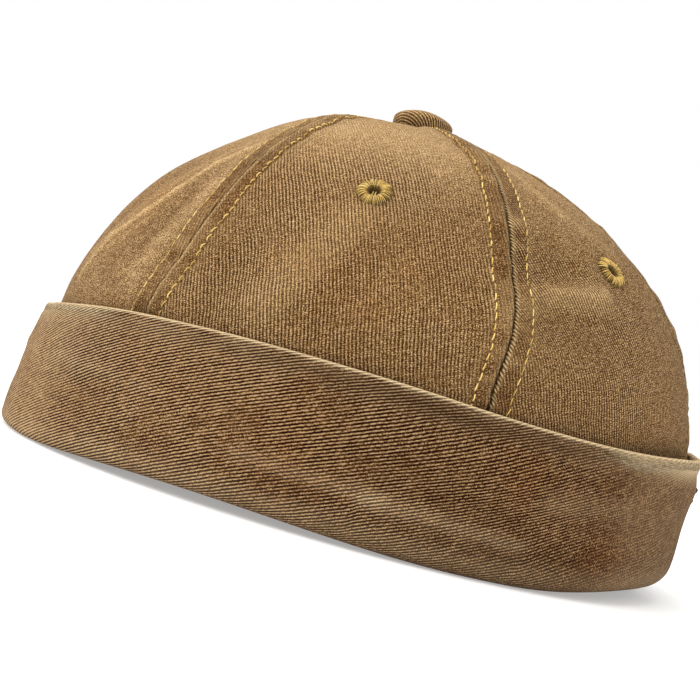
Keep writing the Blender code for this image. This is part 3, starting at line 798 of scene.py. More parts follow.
def thread_material():
    sh = Shader("gold_thread", roughness=0.60, sheen=0.08, sheen_rough=0.4, sheen_tint=(1.0, 0.9, 0.6), specular=0.15)
    x, y, strand = sh.attribute("weave")
    tone = sh.white(sh.vector(strand, 0.5, 0.5))
    twist = (x + y / 0.55).wave()
    n = sh.noise(sh.place(), 900.0, 2.0)
    t = tone * 0.62 + twist * 0.22 + (n - 0.5) * 0.6 + 0.04
    c = sh.ramp(t, ((0.0, linear(112, 76, 20)), (1.0, linear(255, 230, 150)), (0.5, linear(220, 182, 98))))
    wear, dirt_and_shade, tint = sh.attribute("marks_and_shade")
    # painted shade: darker where the threads dip under the cloth, into the hole, and on the back seam
    c = sh.mix(dirt_and_shade.clamp(), c, linear(52, 34, 8))
    sh.colour(c)
    sh.relief(twist + n * 0.4, 0.05 * MM)
    return sh.mat


def metal_material():
    sh = Shader("dark_painted_metal", roughness=0.36, metallic=0.0, specular=0.5, coat=0.15)
    wear, dirt_and_shade, tint = sh.attribute("marks_and_shade")
    chips = sh.noise(sh.place(), 900.0, 4.0, 0.7)
    fine = sh.noise(sh.place(), 3200.0, 2.0, 0.6)
    bare = (chips + wear * 0.42).ramp(0.74, 0.80)
    c = sh.ramp(chips * 0.6 + fine * 0.4, ((0.0, linear(30, 27, 26)), (1.0, linear(66, 60, 56))))
    c = sh.mix(bare, c, linear(150, 132, 104))
    sh.colour(c)
    sh.rough((1.0 - bare) * 0.12 + fine * 0.14 + 0.24)
    sh.tree.links.new(bare.out, sh.bsdf.inputs["Metallic"])
    sh.relief(fine * 0.4 - bare * 0.8, 0.03 * MM)
    return sh.mat


CROWN = twill("crown_twill", CROWN_WALE,
              (linear(54, 30, 9), linear(105, 70, 34)), (linear(167, 129, 82), linear(236, 202, 152)),
              linear(214, 180, 128), linear(190, 140, 60), 0.82, 1.0, 0.17, waver=0.14, gain=0.618, ribs=0.36, dots=0.54, dash=0.40, hem=True,
              edge_tone=0.06)
CUFF = twill("cuff_twill", CUFF_WALE,
             (linear(44, 17, 3), linear(94, 55, 24)), (linear(160, 121, 78), linear(226, 190, 142)),
             linear(216, 188, 146), linear(188, 138, 60), 1.6, 0.95, 0.17, waver=0.20, gain=0.51, ribs=0.62, dots=0.26, dash=0.62, edge_tone=0.15)
THREAD = thread_material()
METAL = metal_material()


# ------------------------------------------------------------ crown panels
def seam_angle(name, z):
    base = SEAMS[name]
    if name in SEAM_WANDER:
        w = np.array(SEAM_WANDER[name])
        off = np.interp(z, w[:, 0], w[:, 1])
        off = sum(np.interp(z + d, w[:, 0], w[:, 1]) for d in (-5, -2.5, 0, 2.5, 5)) / 5 * 0.8 + off * 0.2
    else:
        off = 0.55 * noise1(z, 24.0, list(SEAMS).index(name) + 1)
    return base + off + 0.14 * noise1(z, 2.6, list(SEAMS).index(name) + 130)


def stitch_at(seam, side, z):
    if (seam, side) in STITCH_AT:
        w = np.array(STITCH_AT[(seam, side)])
        return np.interp(z, w[:, 0], w[:, 1])
    return 4.9 + 0.3 * noise1(z, 22.0, list(SEAMS).index(seam) * 2 + side + 20)


EDGE = np.array([0.06, 0.26, 0.5, 0.8, 1.15, 1.6, 2.1, 2.65, 3.2, 3.75, 4.2, 4.6, 4.95, 5.3, 5.7, 6.15, 6.8, 7.7])


def row_levels():
    """Section parameters of the rows: wide apart inside the cuff, close above it."""
    low = [0.0, crown_s(10.0), crown_s(18.0), crown_s(25.0), crown_s(30.0)]
    s = np.linspace(crown_s(33.0), 1.0, 3000)
    p = crown_point(s, np.full_like(s, 90.0))
    arc = np.concatenate([[0.0], np.cumsum(np.linalg.norm(np.diff(p, axis=0), axis=1))])
    radius = 0.5 * (crown_front(s) + crown_back(s))
    end = float(np.interp(-APEX_HOLE, -radius, arc))
    n = int(round(end / 0.74))
    return np.concatenate([low, np.interp(np.linspace(0, end, n + 1), arc, s)])


LEVELS = row_levels()


class Panel:
    """One crown panel: its surface points, distances from both seams and cloth coordinates."""

    def __init__(self, name, seam_a, seam_b, index):
        self.name, self.seams, self.index = name, (seam_a, seam_b), index
        s = LEVELS
        z = crown_z(s)
        ta, tb = seam_angle(seam_a, z), seam_angle(seam_b, z)
        tb = np.where(tb < ta, tb + 360.0, tb)
        fine = ta[:, None] + (tb - ta)[:, None] * np.linspace(0, 1, 281)[None]
        run = crown_point(np.broadcast_to(s[:, None], fine.shape), fine)
        arc = np.concatenate([np.zeros((len(s), 1)), np.cumsum(np.linalg.norm(np.diff(run, axis=1), axis=-1), 1)], 1)
        width = arc[:, -1]
        columns = 2 * len(EDGE) + 78
        marks = np.zeros((len(s), columns))
        t = np.zeros_like(marks)
        for r in range(len(s)):
            k = min(1.0, 0.40 * width[r] / EDGE[-1])
            e = EDGE * k
            mid = np.linspace(e[-1], width[r] - e[-1], 80)[1:-1]
            marks[r] = np.concatenate([e, mid, width[r] - e[::-1]])
            t[r] = np.interp(marks[r], arc[r], fine[r])
        S = np.broadcast_to(s[:, None], t.shape)
        self.s, self.t, self.S = s, t, S
        self.base = crown_point(S, t)
        self.normal = crown_normal(S, t)
        self.z = self.base[..., 2]
        self.dl, self.dr = marks, width[:, None] - marks
        self.width = width
        c = columns // 2
        step = np.linalg.norm(np.diff(self.base[:, c], axis=0), axis=-1)
        self.v = np.concatenate([[0.0], np.cumsum(step)])
        self.height()

    def edge_run(self, left):
        p = self.base[:, 0 if left else -1]
        return np.concatenate([[0.0], np.cumsum(np.linalg.norm(np.diff(p, axis=0), axis=-1))])

    def height(self):
        t, z = self.t, self.z
        above = z - rim(t)
        free = smooth((above - 0.2) / 3.4)
        h = np.zeros_like(t)
        wear = np.zeros_like(t)
        dirt_and_shade = np.zeros_like(t)
        strands = np.zeros_like(t)      # where a turned edge shows its ribs end on
        strand_at = np.zeros_like(t)
        strand_deep = np.ones_like(t)
        for left in (True, False):
            seam = self.seams[0] if left else self.seams[1]
            side = 1 if left else -1
            d = self.dl if left else self.dr
            v = np.broadcast_to(self.edge_run(left)[:, None], d.shape)
            k = list(SEAMS).index(seam)
            near = np.minimum(1.0, self.width / 26.0)[:, None]
            # the turned edge, the raised allowance and where it ends under the cloth
            edge = np.clip(1 - d / SEAM_ROUND, 0.0, 1.0)
            rise = SEAM_RISE + 0.20 * smooth((z - 92.0) / 16.0)
            ds = stitch_at(seam, side, z)
            h += rise * smooth((ds + 0.70 - d) / 0.75) * near * np.where(self.dl + self.dr > 2.2, 1.0, 0.3)
            over = 1.0 if self.name.startswith("side") else 0.0
            h -= (SEAM_DROP * (0.62 + 0.38 * over) * edge ** 2.2) * smooth(self.width / 5.0)[:, None]
            h += (0.22 * over - 0.12 * (1 - over)) * gauss(d - 0.9, 1.0) * near
            # topstitching pulls the cloth down
            beat = 0.65 + 0.35 * np.cos(2 * np.pi * v / STITCH_PITCH)
            h -= 0.32 * gauss(d - ds, 0.45) * beat * near
            h -= 0.10 * gauss(d - ds, 1.1) * near
            # puckers across the allowance, partly shared by both sides of the seam
            own, shared = 3 + 2 * k + (0 if left else 1), 40 + k
            pk = 0.55 * noise1(v, PUCKER_PITCH * 0.62, own) + 0.55 * noise1(v, PUCKER_PITCH * 0.62, shared) \
                + 0.25 * noise1(v, PUCKER_PITCH * 0.3, own + 60)
            where = gauss(d - 2.7, 1.9) + 0.40 * gauss(d - 7.5, 3.2)
            skew = 0.55 * noise1(v + 0.5 * side * d, PUCKER_PITCH * 0.6, own + 90)
            h += PUCKER * near * (pk * where + skew * gauss(d - 9.0, 4.5) * 0.35)
            front_seam = seam in ("left_front", "right_front")
            wear += (0.20 + (0.40 if front_seam else 0.04) * over) * gauss(d - 0.75, 0.42) * (0.8 + 0.4 * noise1(v, 6.0, own + 11))
            wear += 0.30 * np.clip(pk, 0, 1) * gauss(d - 2.6, 1.7)
            wear += 0.12 * gauss(d - 5.6, 0.5)
            # painted shade in the groove between the two turned edges
            dirt_and_shade += (0.30 if front_seam else 0.80) * gauss(d, 0.26) + (0.26 if front_seam or over else 0.10) * gauss(d - 0.45, 0.32)
            own_half = (self.dl <= self.dr) if left else (self.dr < self.dl)
            if front_seam and over:
                strands += own_half * 0.75 * smooth((1.25 - d) / 0.6)
                strand_at += own_half * (v - 0.5 * d) / 1.28
            elif not front_seam and not over:
                strands += own_half * 0.80 * smooth((1.6 - d) / 1.1) * (1 + 0.35 * noise1(v, 4.0, k + 150))
                strand_at += own_half * (v + 0.84 * d) / 1.04
                strand_deep += own_half * 1.1
            # painted shade beside the stitches, where they sink in, and at the step where the allowance ends
            dirt_and_shade += 0.46 * gauss(d - ds - 0.15, 0.36) * beat + 0.12 * gauss(d - 6.6, 0.7)
            # painted shade in the hollows of the puckers
            dirt_and_shade += 0.34 * np.clip(-pk, 0, 1) * gauss(d - 2.6, 1.8)
            dirt_and_shade += 0.16 * smooth((ds - d) / 1.0) * near * (0.7 + 0.3 * noise1(v, 12.0, own + 30))
        crease = fold_height(CROWN_CREASES, t, z, 1.45)
        fold = fold_height(CROWN_FOLDS, t, z, 1.45)
        inside = smooth((np.minimum(self.dl, self.dr) - 5.5) / 4.0)
        h += crease * (0.35 + 0.65 * inside)
        h += 0.28 * noise3(self.base, 21.0, 2) + 0.10 * noise3(self.base, 8.0, 3)
        top = smooth((z - 109.0) / 6.0)
        h = h * free * (1 - 0.55 * top)
        h += fold_height(CROWN_FIT, t, z, 1.45) * smooth((above + 5.0) / 3.0) * smooth((118.6 - z) / 0.6)
        wear += 0.30 * np.clip(crease, 0, 1) + 0.16 * np.clip(fold, 0, 1)
        wear += 0.10 * smooth((z - 84.0) / 30.0)
        # painted shade in creases and dents, and on the crown just above the cuff's edge
        dirt_and_shade += 0.10 * np.clip(-crease - fold, 0, 1.5) + 0.30 * smooth((5.0 - above) / 5.0)
        tint = 0.30 * noise3(self.base, 26.0, 5) + 0.25 * smooth((SEAM_END - np.minimum(self.dl, self.dr)) / 1.0)
        # round the stitched eyelet the cloth is drawn in a little
        name, a, b, et, ez = PANELS[self.index]
        self.hole = None
        if et is not None:
            s0 = float(crown_s(ez))
            c = crown_point(np.array(s0), np.array(et))
            n = crown_normal(np.array(s0), np.array(et))
            r = np.linalg.norm(self.base - c, axis=-1)
            phi = np.arctan2(z - ez, (t - et) * 1.2)
            h = h * (1 - gauss(r, 3.2)) + (-0.22 * gauss(r - 4.9, 0.6) + 0.10 * gauss(r - 7.0, 1.6) * np.cos(7 * phi))
            # painted shade in the drawn-in ring round the eyelet
            dirt_and_shade += 0.22 * gauss(r - 4.9, 0.5)
            self.hole = (c, n)
        self.points = self.base + self.normal * h[..., None]
        self.marks_and_shade = np.stack([wear, dirt_and_shade, tint], -1)
        shown = {"side": 1.0, "front": 0.16, "back": 0.90}[self.name.split("_")[0]]
        if self.name.startswith("back"):
            shown = shown * (1 - 0.72 * smooth((z - 76.0) / 14.0)) * (1 - 0.62 * smooth((np.abs(t) - 144.0) / 18.0))
        else:
            shown = shown * (1 - 0.72 * smooth((z - 88.0) / 16.0))
        if self.name.startswith("side"):
            shown = shown * (1 - 0.45 * smooth((np.abs(t) - 100.0) / 14.0) * smooth((z - 70.0) / 12.0))
        band = smooth((SEAM_END - np.minimum(self.dl, self.dr)) / 1.2)
        lines = 0.95 if self.name.startswith("back") else 0.24
        shown = shown * (1 - band) + lines * (1 + 0.5 * noise3(self.base, 5.0, 21)) * band * (1 - 0.4 * smooth((z - 96.0) / 14.0))
        # painted light: paler towards the top and on the front panels, painted highlights and shade along creases and
        # dents, and some random tone
        painted_light_and_tone = 0.45 * smooth((z - 80.0) / 28.0) + (0.15 if self.name.startswith("front") else 0.0)
        painted_light_and_tone = painted_light_and_tone + fold_height(CROWN_PAINTED_LIGHT, t, z, 1.45) * 0.95 + 0.07 * noise3(self.base, 15.0, 13)
        strands = strands * free * (1 - 0.6 * top)
        self.form = np.stack([shown + 0 * z, strands, painted_light_and_tone * (1 - 0.6 * band) - 0.30 * band], -1)
        self.hem = np.stack([strand_at, 0 * z, strand_deep], -1)

    def at(self, row, d_left=None, d_right=None):
        """Point of the finished surface at a fractional row and a distance from one seam."""
        r0 = np.clip(np.floor(row).astype(int), 0, len(self.s) - 2)
        f = row - r0
        out = []
        for i in range(len(row)):
            p = []
            for r in (r0[i], r0[i] + 1):
                x = self.dl[r] if d_left is not None else self.dr[r][::-1]
                q = self.points[r] if d_left is not None else self.points[r][::-1]
                d = d_left[i] if d_left is not None else d_right[i]
                p.append([np.interp(d, x, q[:, k]) for k in range(3)])
            out.append(np.array(p[0]) * (1 - f[i]) + np.array(p[1]) * f[i])
        return np.array(out)

    def make(self):
        rows, cols = self.points.shape[:2]
        ri = sorted(set(list(range(0, rows - 1, 5)) + [rows - 1]))
        ci = sorted(set([0, 5, 12, 17] + list(range(17, cols - 18, 6)) + [cols - 18, cols - 13, cols - 6, cols - 1]))
        inner = (self.base - self.normal * CLOTH)[np.ix_(ri, ci)]
        inner[0, :, 2] = self.points[0][ci, 2]
        outer_id = np.arange(rows * cols).reshape(rows, cols)
        inner_id = rows * cols + np.arange(len(ri) * len(ci)).reshape(len(ri), len(ci))
        verts = np.concatenate([self.points.reshape(-1, 3), inner.reshape(-1, 3)])
        back = self.name.startswith("back")
        lean = math.radians(CROWN_WALE[1])
        u = self.dl - self.width[:, None] / 2
        vv = np.broadcast_to(self.v[:, None], u.shape) - 60.0
        close = 1.0 + 0.14 * smooth((66.0 - 60.0 - vv) / 14.0) if back else 1.0
        drift = flow(SIDE_FLOW, u, vv + 60.0, 13.0, 13.0) if self.name.startswith("side") else 0.0
        w = np.stack([(u * math.cos(lean) + vv * math.sin(lean)) * close + drift, -u * math.sin(lean) + vv * math.cos(lean),
                      np.full_like(u, float(self.index))], -1)
        weave = np.concatenate([w.reshape(-1, 3), w[np.ix_(ri, ci)].reshape(-1, 3) * np.array([-1, 1, 1])])
        count = inner.shape[0] * inner.shape[1]
        marks_and_shade = np.concatenate([self.marks_and_shade.reshape(-1, 3), np.tile([0.18, 0.0, 0.0], (count, 1))])
        form = np.concatenate([self.form.reshape(-1, 3), np.tile([0.8, 0.0, 0.0], (count, 1))])
        hem = np.concatenate([self.hem.reshape(-1, 3), np.zeros((count, 3))])
        outer_f, inner_f = grid_faces(rows, cols), grid_faces(len(ri), len(ci), rows * cols, flip=True)
        if self.hole is not None:
            c, n = self.hole
            ax = axes_at(n)
            outer_f, loop_a = open_round(verts, outer_f, c, ax, 2.7, 6.0)
            inner_f, loop_b = open_round(verts, inner_f, c, ax, 4.4, 9.0)
            ang = np.arange(24) * 2 * np.pi / 24
            k = len(verts)
            for h in (0.0, -CLOTH):
                verts = np.concatenate([verts, c + (np.stack([np.cos(ang) * VENT_R, np.sin(ang) * VENT_R, ang * 0 + h], -1) @ ax)])
            near = loop_a[0]
            weave = np.concatenate([weave, np.tile(weave[near], (48, 1))])
            # the wall of the hole is painted in shade
            marks_and_shade = np.concatenate([marks_and_shade, np.tile([0.0, 0.3, 0.0], (48, 1))])
            form = np.concatenate([form, np.tile([0.3, 0.0, 0.0], (48, 1))])
            hem = np.concatenate([hem, np.zeros((48, 3))])
            rim_a, rim_b = list(range(k, k + 24)), list(range(k + 24, k + 48))
            outer_f += bridge(verts, loop_a, rim_a, c, ax)
            outer_f += [(rim_a[i], rim_a[(i + 1) % 24], rim_b[(i + 1) % 24], rim_b[i]) for i in range(24)]
            inner_f += bridge(verts, rim_b, loop_b, c, ax)
        faces = outer_f + inner_f
        faces += zipper(outer_id[0, ::-1], inner_id[0, ::-1], [cols - 1 - c for c in ci[::-1]])
        faces += zipper(outer_id[-1], inner_id[-1], ci)
        faces += zipper(outer_id[:, 0], inner_id[:, 0], ri)
        faces += zipper(outer_id[::-1, -1], inner_id[::-1, -1], [rows - 1 - r for r in ri[::-1]])
        ob = build("cloth_" + self.name, verts, faces, CROWN, weave, marks_and_shade, 75.0, form=form, hem=hem)
        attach(ob, "root")
        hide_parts("panel_" + self.name)
        return ob


def stitches(panel):
    """Both rows of topstitching of a panel as separate short threads."""
    paths, shade = [], []
    for left in (True, False):
        seam = panel.seams[0] if left else panel.seams[1]
        side = 1 if left else -1
        run = panel.edge_run(left)
        z = panel.z[:, 0 if left else -1]
        tt = panel.t[:, 0 if left else -1]
        start = float(np.interp(0.0, z - rim(tt), run)) - 1.5
        end = float(np.interp(0.0, np.linalg.norm(panel.base[:, 0, :2] - [0, CENTRE_Y], axis=-1)[::-1] * -1 + 8.0, run[::-1])) \
            if False else float(run[np.argmax(np.linalg.norm(panel.base[:, 0 if left else -1, :2] - np.array([0, CENTRE_Y]), axis=-1) < 8.2)])
        k = list(SEAMS).index(seam) * 2 + (0 if left else 1)
        rng = np.random.default_rng(100 + k)
        count = int((end - start) / STITCH_PITCH)
        for i in range(count):
            a = start + (i + 0.5 * (k % 2)) * STITCH_PITCH + rng.normal() * 0.07
            length = STITCH_LENGTH * (1 + rng.normal() * 0.06)
            q = np.linspace(0, 1, 8)
            along = a + q * length
            row = np.interp(along, run, np.arange(len(run)))
            zz = np.interp(along, run, z)
            slant = 0.20 * side
            d = stitch_at(seam, side, zz) + (q - 0.5) * slant + rng.normal() * 0.05
            width = np.interp(row, np.arange(len(run)), panel.width)
            d = np.minimum(d, 0.46 * width)
            p = panel.at(row, d_left=d) if left else panel.at(row, d_right=d)
            s = np.interp(row, np.arange(len(run)), panel.s)
            t = np.interp(row, np.arange(len(run)), tt)
            n = crown_normal(s, t)
            rise = -0.24 + (0.12 if seam == "back" else 0.30) * np.sin(np.pi * np.clip(q, 0.0, 1.0)) ** 0.55
            paths.append(p + n * rise[:, None])
            # painted shade: the back seam's stitches are darkened
            shade.append(0.62 if seam == "back" else 0.0)
    paths = np.array(paths)
    taper = np.array([0.75, 0.95, 1.0, 1.0, 1.0, 1.0, 0.95, 0.75]) * THREAD_R
    v, f, w = tubes(paths, np.broadcast_to(taper, paths.shape[:2]))
    w[:, 2] += panel.index * 40
    marks_and_shade = np.zeros_like(w)
    marks_and_shade[:, 1] = np.repeat(shade, 8 * 6)
    ob = build("stitches_" + panel.name, v, f, THREAD, w, marks_and_shade, 80.0)
    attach(ob, "root")
    return ob


def eyelet(panel):
    """Buttonhole stitches laid radially over a low cord round the vent."""
    c, n = panel.hole
    ax = axes_at(n)
    rng = np.random.default_rng(300 + panel.index)
    count = 48
    paths, shade = [], []
    for i in range(count):
        phi = 2 * math.pi * (i + rng.normal() * 0.12) / count
        reach = 4.62 + rng.normal() * 0.22
        inner = 1.70 + rng.normal() * 0.06
        twist = rng.normal() * 0.010
        up = rng.normal() * 0.05
        prof = [(inner + 0.10, -1.15), (inner - 0.03, -0.35), (inner + 0.10, 0.30), (inner + 0.55, 0.70 + up), (inner + 1.15, 0.86 + up),
                (reach - 1.15, 0.74 + up), (reach - 0.5, 0.50), (reach - 0.08, 0.12), (reach + 0.05, -0.35)]
        paths.append([(r * math.cos(phi + twist * (r - 1.4)), r * math.sin(phi + twist * (r - 1.4)), h) for r, h in prof])
        dull = 0.06 + 0.20 * rng.random()
        # painted shade along each thread: dark where it dips into the hole and under the cloth
        shade.append([0.95, 0.88, 0.68, 0.20 + dull, dull, dull, 0.10 + dull, 0.35 + dull, 0.85])
    paths = np.array(paths)
    v, f, w = tubes(paths, 0.142)
    # the low cord that they cover
    ang = np.linspace(0, 2 * np.pi, 48, endpoint=False)
    prof = [(1.52, -1.9), (3.5, -1.9), (3.6, -1.5), (1.95, -1.45), (1.95, 0.0), (4.05, 0.02), (4.0, 0.30), (3.3, 0.60),
            (2.4, 0.70), (1.75, 0.50), (1.52, 0.10)]
    ring = np.array([[(r * math.cos(a), r * math.sin(a), h) for r, h in prof] for a in ang])
    m = len(prof)
    base = len(v)
    f += grid_faces(48, m, base, wrap_rows=True, wrap_cols=True)
    v = np.concatenate([v, ring.reshape(-1, 3)])
    rw = np.zeros((48 * m, 3))
    rw[:, 1] = np.repeat(np.arange(48), m) * 0.3
    w = np.concatenate([w, rw])
    marks_and_shade = np.zeros_like(w)
    marks_and_shade[:base, 1] = np.repeat(np.array(shade).ravel(), 6)
    # the cord is painted dark as the shade between the threads
    marks_and_shade[base:, 1] = 0.9
    # a few loose ends across the hole
    loose = []
    for k in range(2):
        x0 = -0.45 + 0.76 * k
        loose.append([(x0 + 0.06 * math.sin(q * 3 + k), -1.60 + 2.2 * q / 4, -0.55 + 0.08 * k) for q in range(5)])
    lv, lf, lw = tubes(np.array(loose), 0.15)
    f += [[i + len(v) for i in face] for face in lf]
    v = np.concatenate([v, lv])
    w = np.concatenate([w, lw])
    marks_and_shade = np.concatenate([marks_and_shade, np.zeros_like(lv)])
    ob = build("thread_eyelet_" + panel.name, v @ ax + c, f, THREAD, w, marks_and_shade, 80.0)
    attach(ob, "root")
    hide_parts("eyelet_" + panel.name)
    return ob


# ------------------------------------------------------------ cuff
def cuff():
    fine = np.linspace(-180.0, 180.0, 7201)
    x, y = cuff_xy(fine, np.full_like(fine, 20.0), 0.0, folds=False)
    arc = np.concatenate([[0.0], np.cumsum(np.hypot(np.diff(x), np.diff(y)))])
    stations = 840
    u = np.linspace(0, arc[-1], stations, endpoint=False)
    t = np.interp(u, arc, fine)
    edge_u, edge_h = np.array(EDGE_LIFT).T
    raised = sum(np.interp((u + d) % arc[-1], edge_u, edge_h) for d in (-8.0, -4.0, 0.0, 4.0, 8.0)) / 5
    lo, hi = lift(t), rim(t) + raised
    back = (1 - np.cos(np.radians(t))) / 2
    rx = FOLD_FRONT[0] + (FOLD_BACK[0] - FOLD_FRONT[0]) * back
    rz = FOLD_FRONT[1] + (FOLD_BACK[1] - FOLD_FRONT[1]) * back
    leg_in = CUFF_WALL + CHANNEL
    leg_out = leg_in + CUFF_LEG
    wave = 0.5 * noise1(u, 17.0, 71) + 0.5 * noise1(u, 7.0, 72)
    bead_x = 1.26 * (1 + 0.07 * wave)
    bead_z = (0.94 + 0.30 * smooth((395.0 - u) / 30.0) * smooth((u - 300.0) / 40.0) + 0.42 * smooth((u - 520.0) / 18.0)) * (1 + 0.14 * wave)
    centre = 1.10
    prof = []          # (inset, z) per profile point, arrays over the stations

    def add(inset, z):
        prof.append((np.broadcast_to(inset, t.shape), np.broadcast_to(z, t.shape)))

    for a in np.linspace(0.0, math.pi / 2, 9):
        add(rx * (1 - math.sin(a)), lo + rz * (1 - math.cos(a)))
    wall_from, wall_to = lo + rz, hi - 2 * bead_z - 0.1
    for f in np.linspace(0, 1, 37)[1:-1]:
        add(0.0, wall_from + f * (wall_to - wall_from))
    add(0.03, hi - 2 * bead_z - 0.25)
    n_wall = len(prof)
    for a in np.radians(np.array([-62, -38, -14, 8, 30, 52, 74, 96, 118, 142, 168, 200])):
        side = min(1.0, max(0.0, (math.degrees(a) + 62.0) / 70.0))
        if a < 0.2:
            add(0.03 - 0.13 * smooth(side), hi - bead_z + bead_z * math.sin(a))
        else:
            add(centre - (centre + 0.10) * math.cos(a) ** 1.0 if math.cos(a) > 0 else centre - bead_x * math.cos(a),
                hi - bead_z + bead_z * math.sin(a))
    n_bead = len(prof)
    for z in (hi - 4.5, hi - 8.0, hi * 0 + 24.0, hi * 0 + 14.0):
        add(CUFF_WALL, z)
    add(CUFF_WALL, lo + FLOOR_PLY)
    add(leg_in, lo + FLOOR_PLY)
    add(leg_in, LEG_TOP - 0.6)
    add(leg_in + 0.5, LEG_TOP)
    add(leg_out - 0.5, LEG_TOP)
    add(leg_out, LEG_TOP - 0.6)
    add(leg_out, lo + 1.2)
    add(leg_out - 0.5, lo)
    inset = np.stack([p[0] for p in prof], 1)
    z = np.stack([p[1] for p in prof], 1)
    T = np.broadcast_to(t[:, None], z.shape)
    U = np.broadcast_to(u[:, None], z.shape)
    m = z.shape[1]
    outer = np.zeros(m)
    outer[:n_bead] = 1.0
    # rope-like turns of the rolled edge
    q = np.arange(m)
    ang = np.clip((q - n_wall) / (n_bead - n_wall), 0, 1) * 4.6
    on_bead = np.where((q >= n_wall) & (q < n_bead), 1.0, 0.0)
    rope = 0.035 * np.sin(2 * np.pi * U / 5.6 + ang[None] * 1.3 + 2.2 * noise1(U, 14.0, 75)) * on_bead[None]
    # creases and soft waves of the outer wall
    wall = np.where(q < n_wall, 1.0, 0.0)[None] * smooth((hi[:, None] - 2.0 - z) / 2.5) * smooth((z - lo[:, None]) / 3.5)
    bx, by = cuff_xy(T, z, 0.0)
    base = np.stack([bx, by, z], -1)
    streak = noise3(np.stack([U, z * 5.0, np.zeros_like(z)], -1), 26.0, 77)
    out = (fold_height(CUFF_CREASES, T, z, 1.55) + 0.30 * noise3(base, 23.0, 7) + 0.10 * noise3(base, 8.5, 8)
           + 0.12 * streak) * wall
    behind = gauss(((T - STRAP_T + 180.0) % 360.0 - 180.0) * 1.6, 12.0)
    out = out * (1 - behind)
    fit = fold_height(CUFF_FIT, T, z, 1.55) * np.where(q < n_bead, 1.0, 0.0)[None]
    px, py = cuff_xy(T, z, inset - rope - out - fit, folds=True)
    # folds move only the outer wall: inside the cuff the walls stay plain
    ix, iy = cuff_xy(T, z, inset, folds=False)
    use = (q < n_wall)[None] | ((q < n_bead)[None] & (inset < 1.0))
    fx, fy = cuff_xy(T, z, inset - rope - fit, folds=False)
    X = np.where(use, px, np.where((q < n_bead)[None], fx, ix))
    Y = np.where(use, py, np.where((q < n_bead)[None], fy, iy))
    P = np.stack([X, Y, z], -1)
    seg = np.linalg.norm(np.diff(P, axis=1), axis=-1)
    V = np.concatenate([np.zeros((stations, 1)), np.cumsum(seg, 1)], 1)
    mid = 26
    V = V - V[:, mid:mid + 1] + (z[:, mid:mid + 1] - 20.0)
    rise = math.radians(CUFF_WALE[1])
    # rib coordinates: the ribs rise at the wale's angle round the cuff, with the drift of the flow table
    across = -U * math.sin(rise) + V * math.cos(rise)
    along = U * math.cos(rise) + V * math.sin(rise)
    across = across + flow(CUFF_FLOW, U, V, 15.0, 9.0)
    weave = np.stack([across, along, np.full_like(U, 9.0)], -1)
    # wear, dirt and painted shade, and tint
    below = hi[:, None] - z
    n_a = noise3(base, 9.0, 9)
    n_b = noise1(U, 30.0, 79)
    top = smooth((3.1 - below) / 1.5) * np.where(q < n_bead, 1.0, 0.0)[None]
    spread = smooth((8.5 - below) / 7.5) * np.where(q < n_wall, 1.0, 0.0)[None]
    wear = top * (0.05 + 0.10 * n_a) + (0.70 + 0.10 * n_b) * smooth((0.70 - below) / 0.40) * on_bead[None] + spread * (0.06 + 0.10 * np.clip(n_b, 0, 1)) \
        + spread * 0.60 * bump(T, 168.0, 22.0) + spread * 0.30 * bump(T, -160.0, 30.0) + spread * 0.22 * bump(T, 24.0, 30.0) \
        + 0.12 * gauss(z - lo[:, None] - 0.6 * rz[:, None], 2.4) \
        + 0.22 * np.clip(fold_height(CUFF_CREASES, T, z, 1.55), 0, 1) \
        + 0.07 * smooth((388.0 - U) / 22.0) * smooth((U - 320.0) / 30.0) + 0.06 * smooth((U - 533.0) / 12.0)
    ends = smooth((394.0 - U) / 16.0) * smooth((U - 320.0) / 30.0) + smooth((U - 518.0) / 22.0)
    # painted shade: a dark band under the rolled edge, deepest round the middle of the cuff, and in the creases and
    # along the bottom fold
    dirt_and_shade = gauss(below - 3.1, 1.25) * np.where(q < n_bead, 1.0, 0.0)[None] * (0.14 + 0.72 * bump(T, 107.0, 48.0)) * (1 + 0.4 * n_b) * (1 - ends) \
        + 0.25 * np.clip(-fold_height(CUFF_CREASES, T, z, 1.55), 0, 1) \
        + 0.22 * smooth((lo[:, None] + 2.6 - z) / 2.6) * np.where(q < 10, 1.0, 0.0)[None]
    tint = 0.38 * bump(T, 98.0, 16.0) * gauss(z - 11.5, 3.4) + 0.5 * bump(T, 146.0, 9.0) * gauss(z - 10.0, 4.0) \
        + 0.25 * bump(T, 80.0, 10.0) * gauss(z - 8.0, 3.0) + 0.4 * bump(T, -120.0, 14.0) * gauss(z - 12.0, 4.0) \
        + 0.28 * noise3(base, 24.0, 11) * (1 - 0.7 * smooth((U - 515.0) / 20.0)) \
        + 0.12 * smooth((402.0 - U) / 30.0) * smooth((U - 300.0) / 40.0)
    inside = np.where(q >= n_bead, 1.0, 0.0)[None]
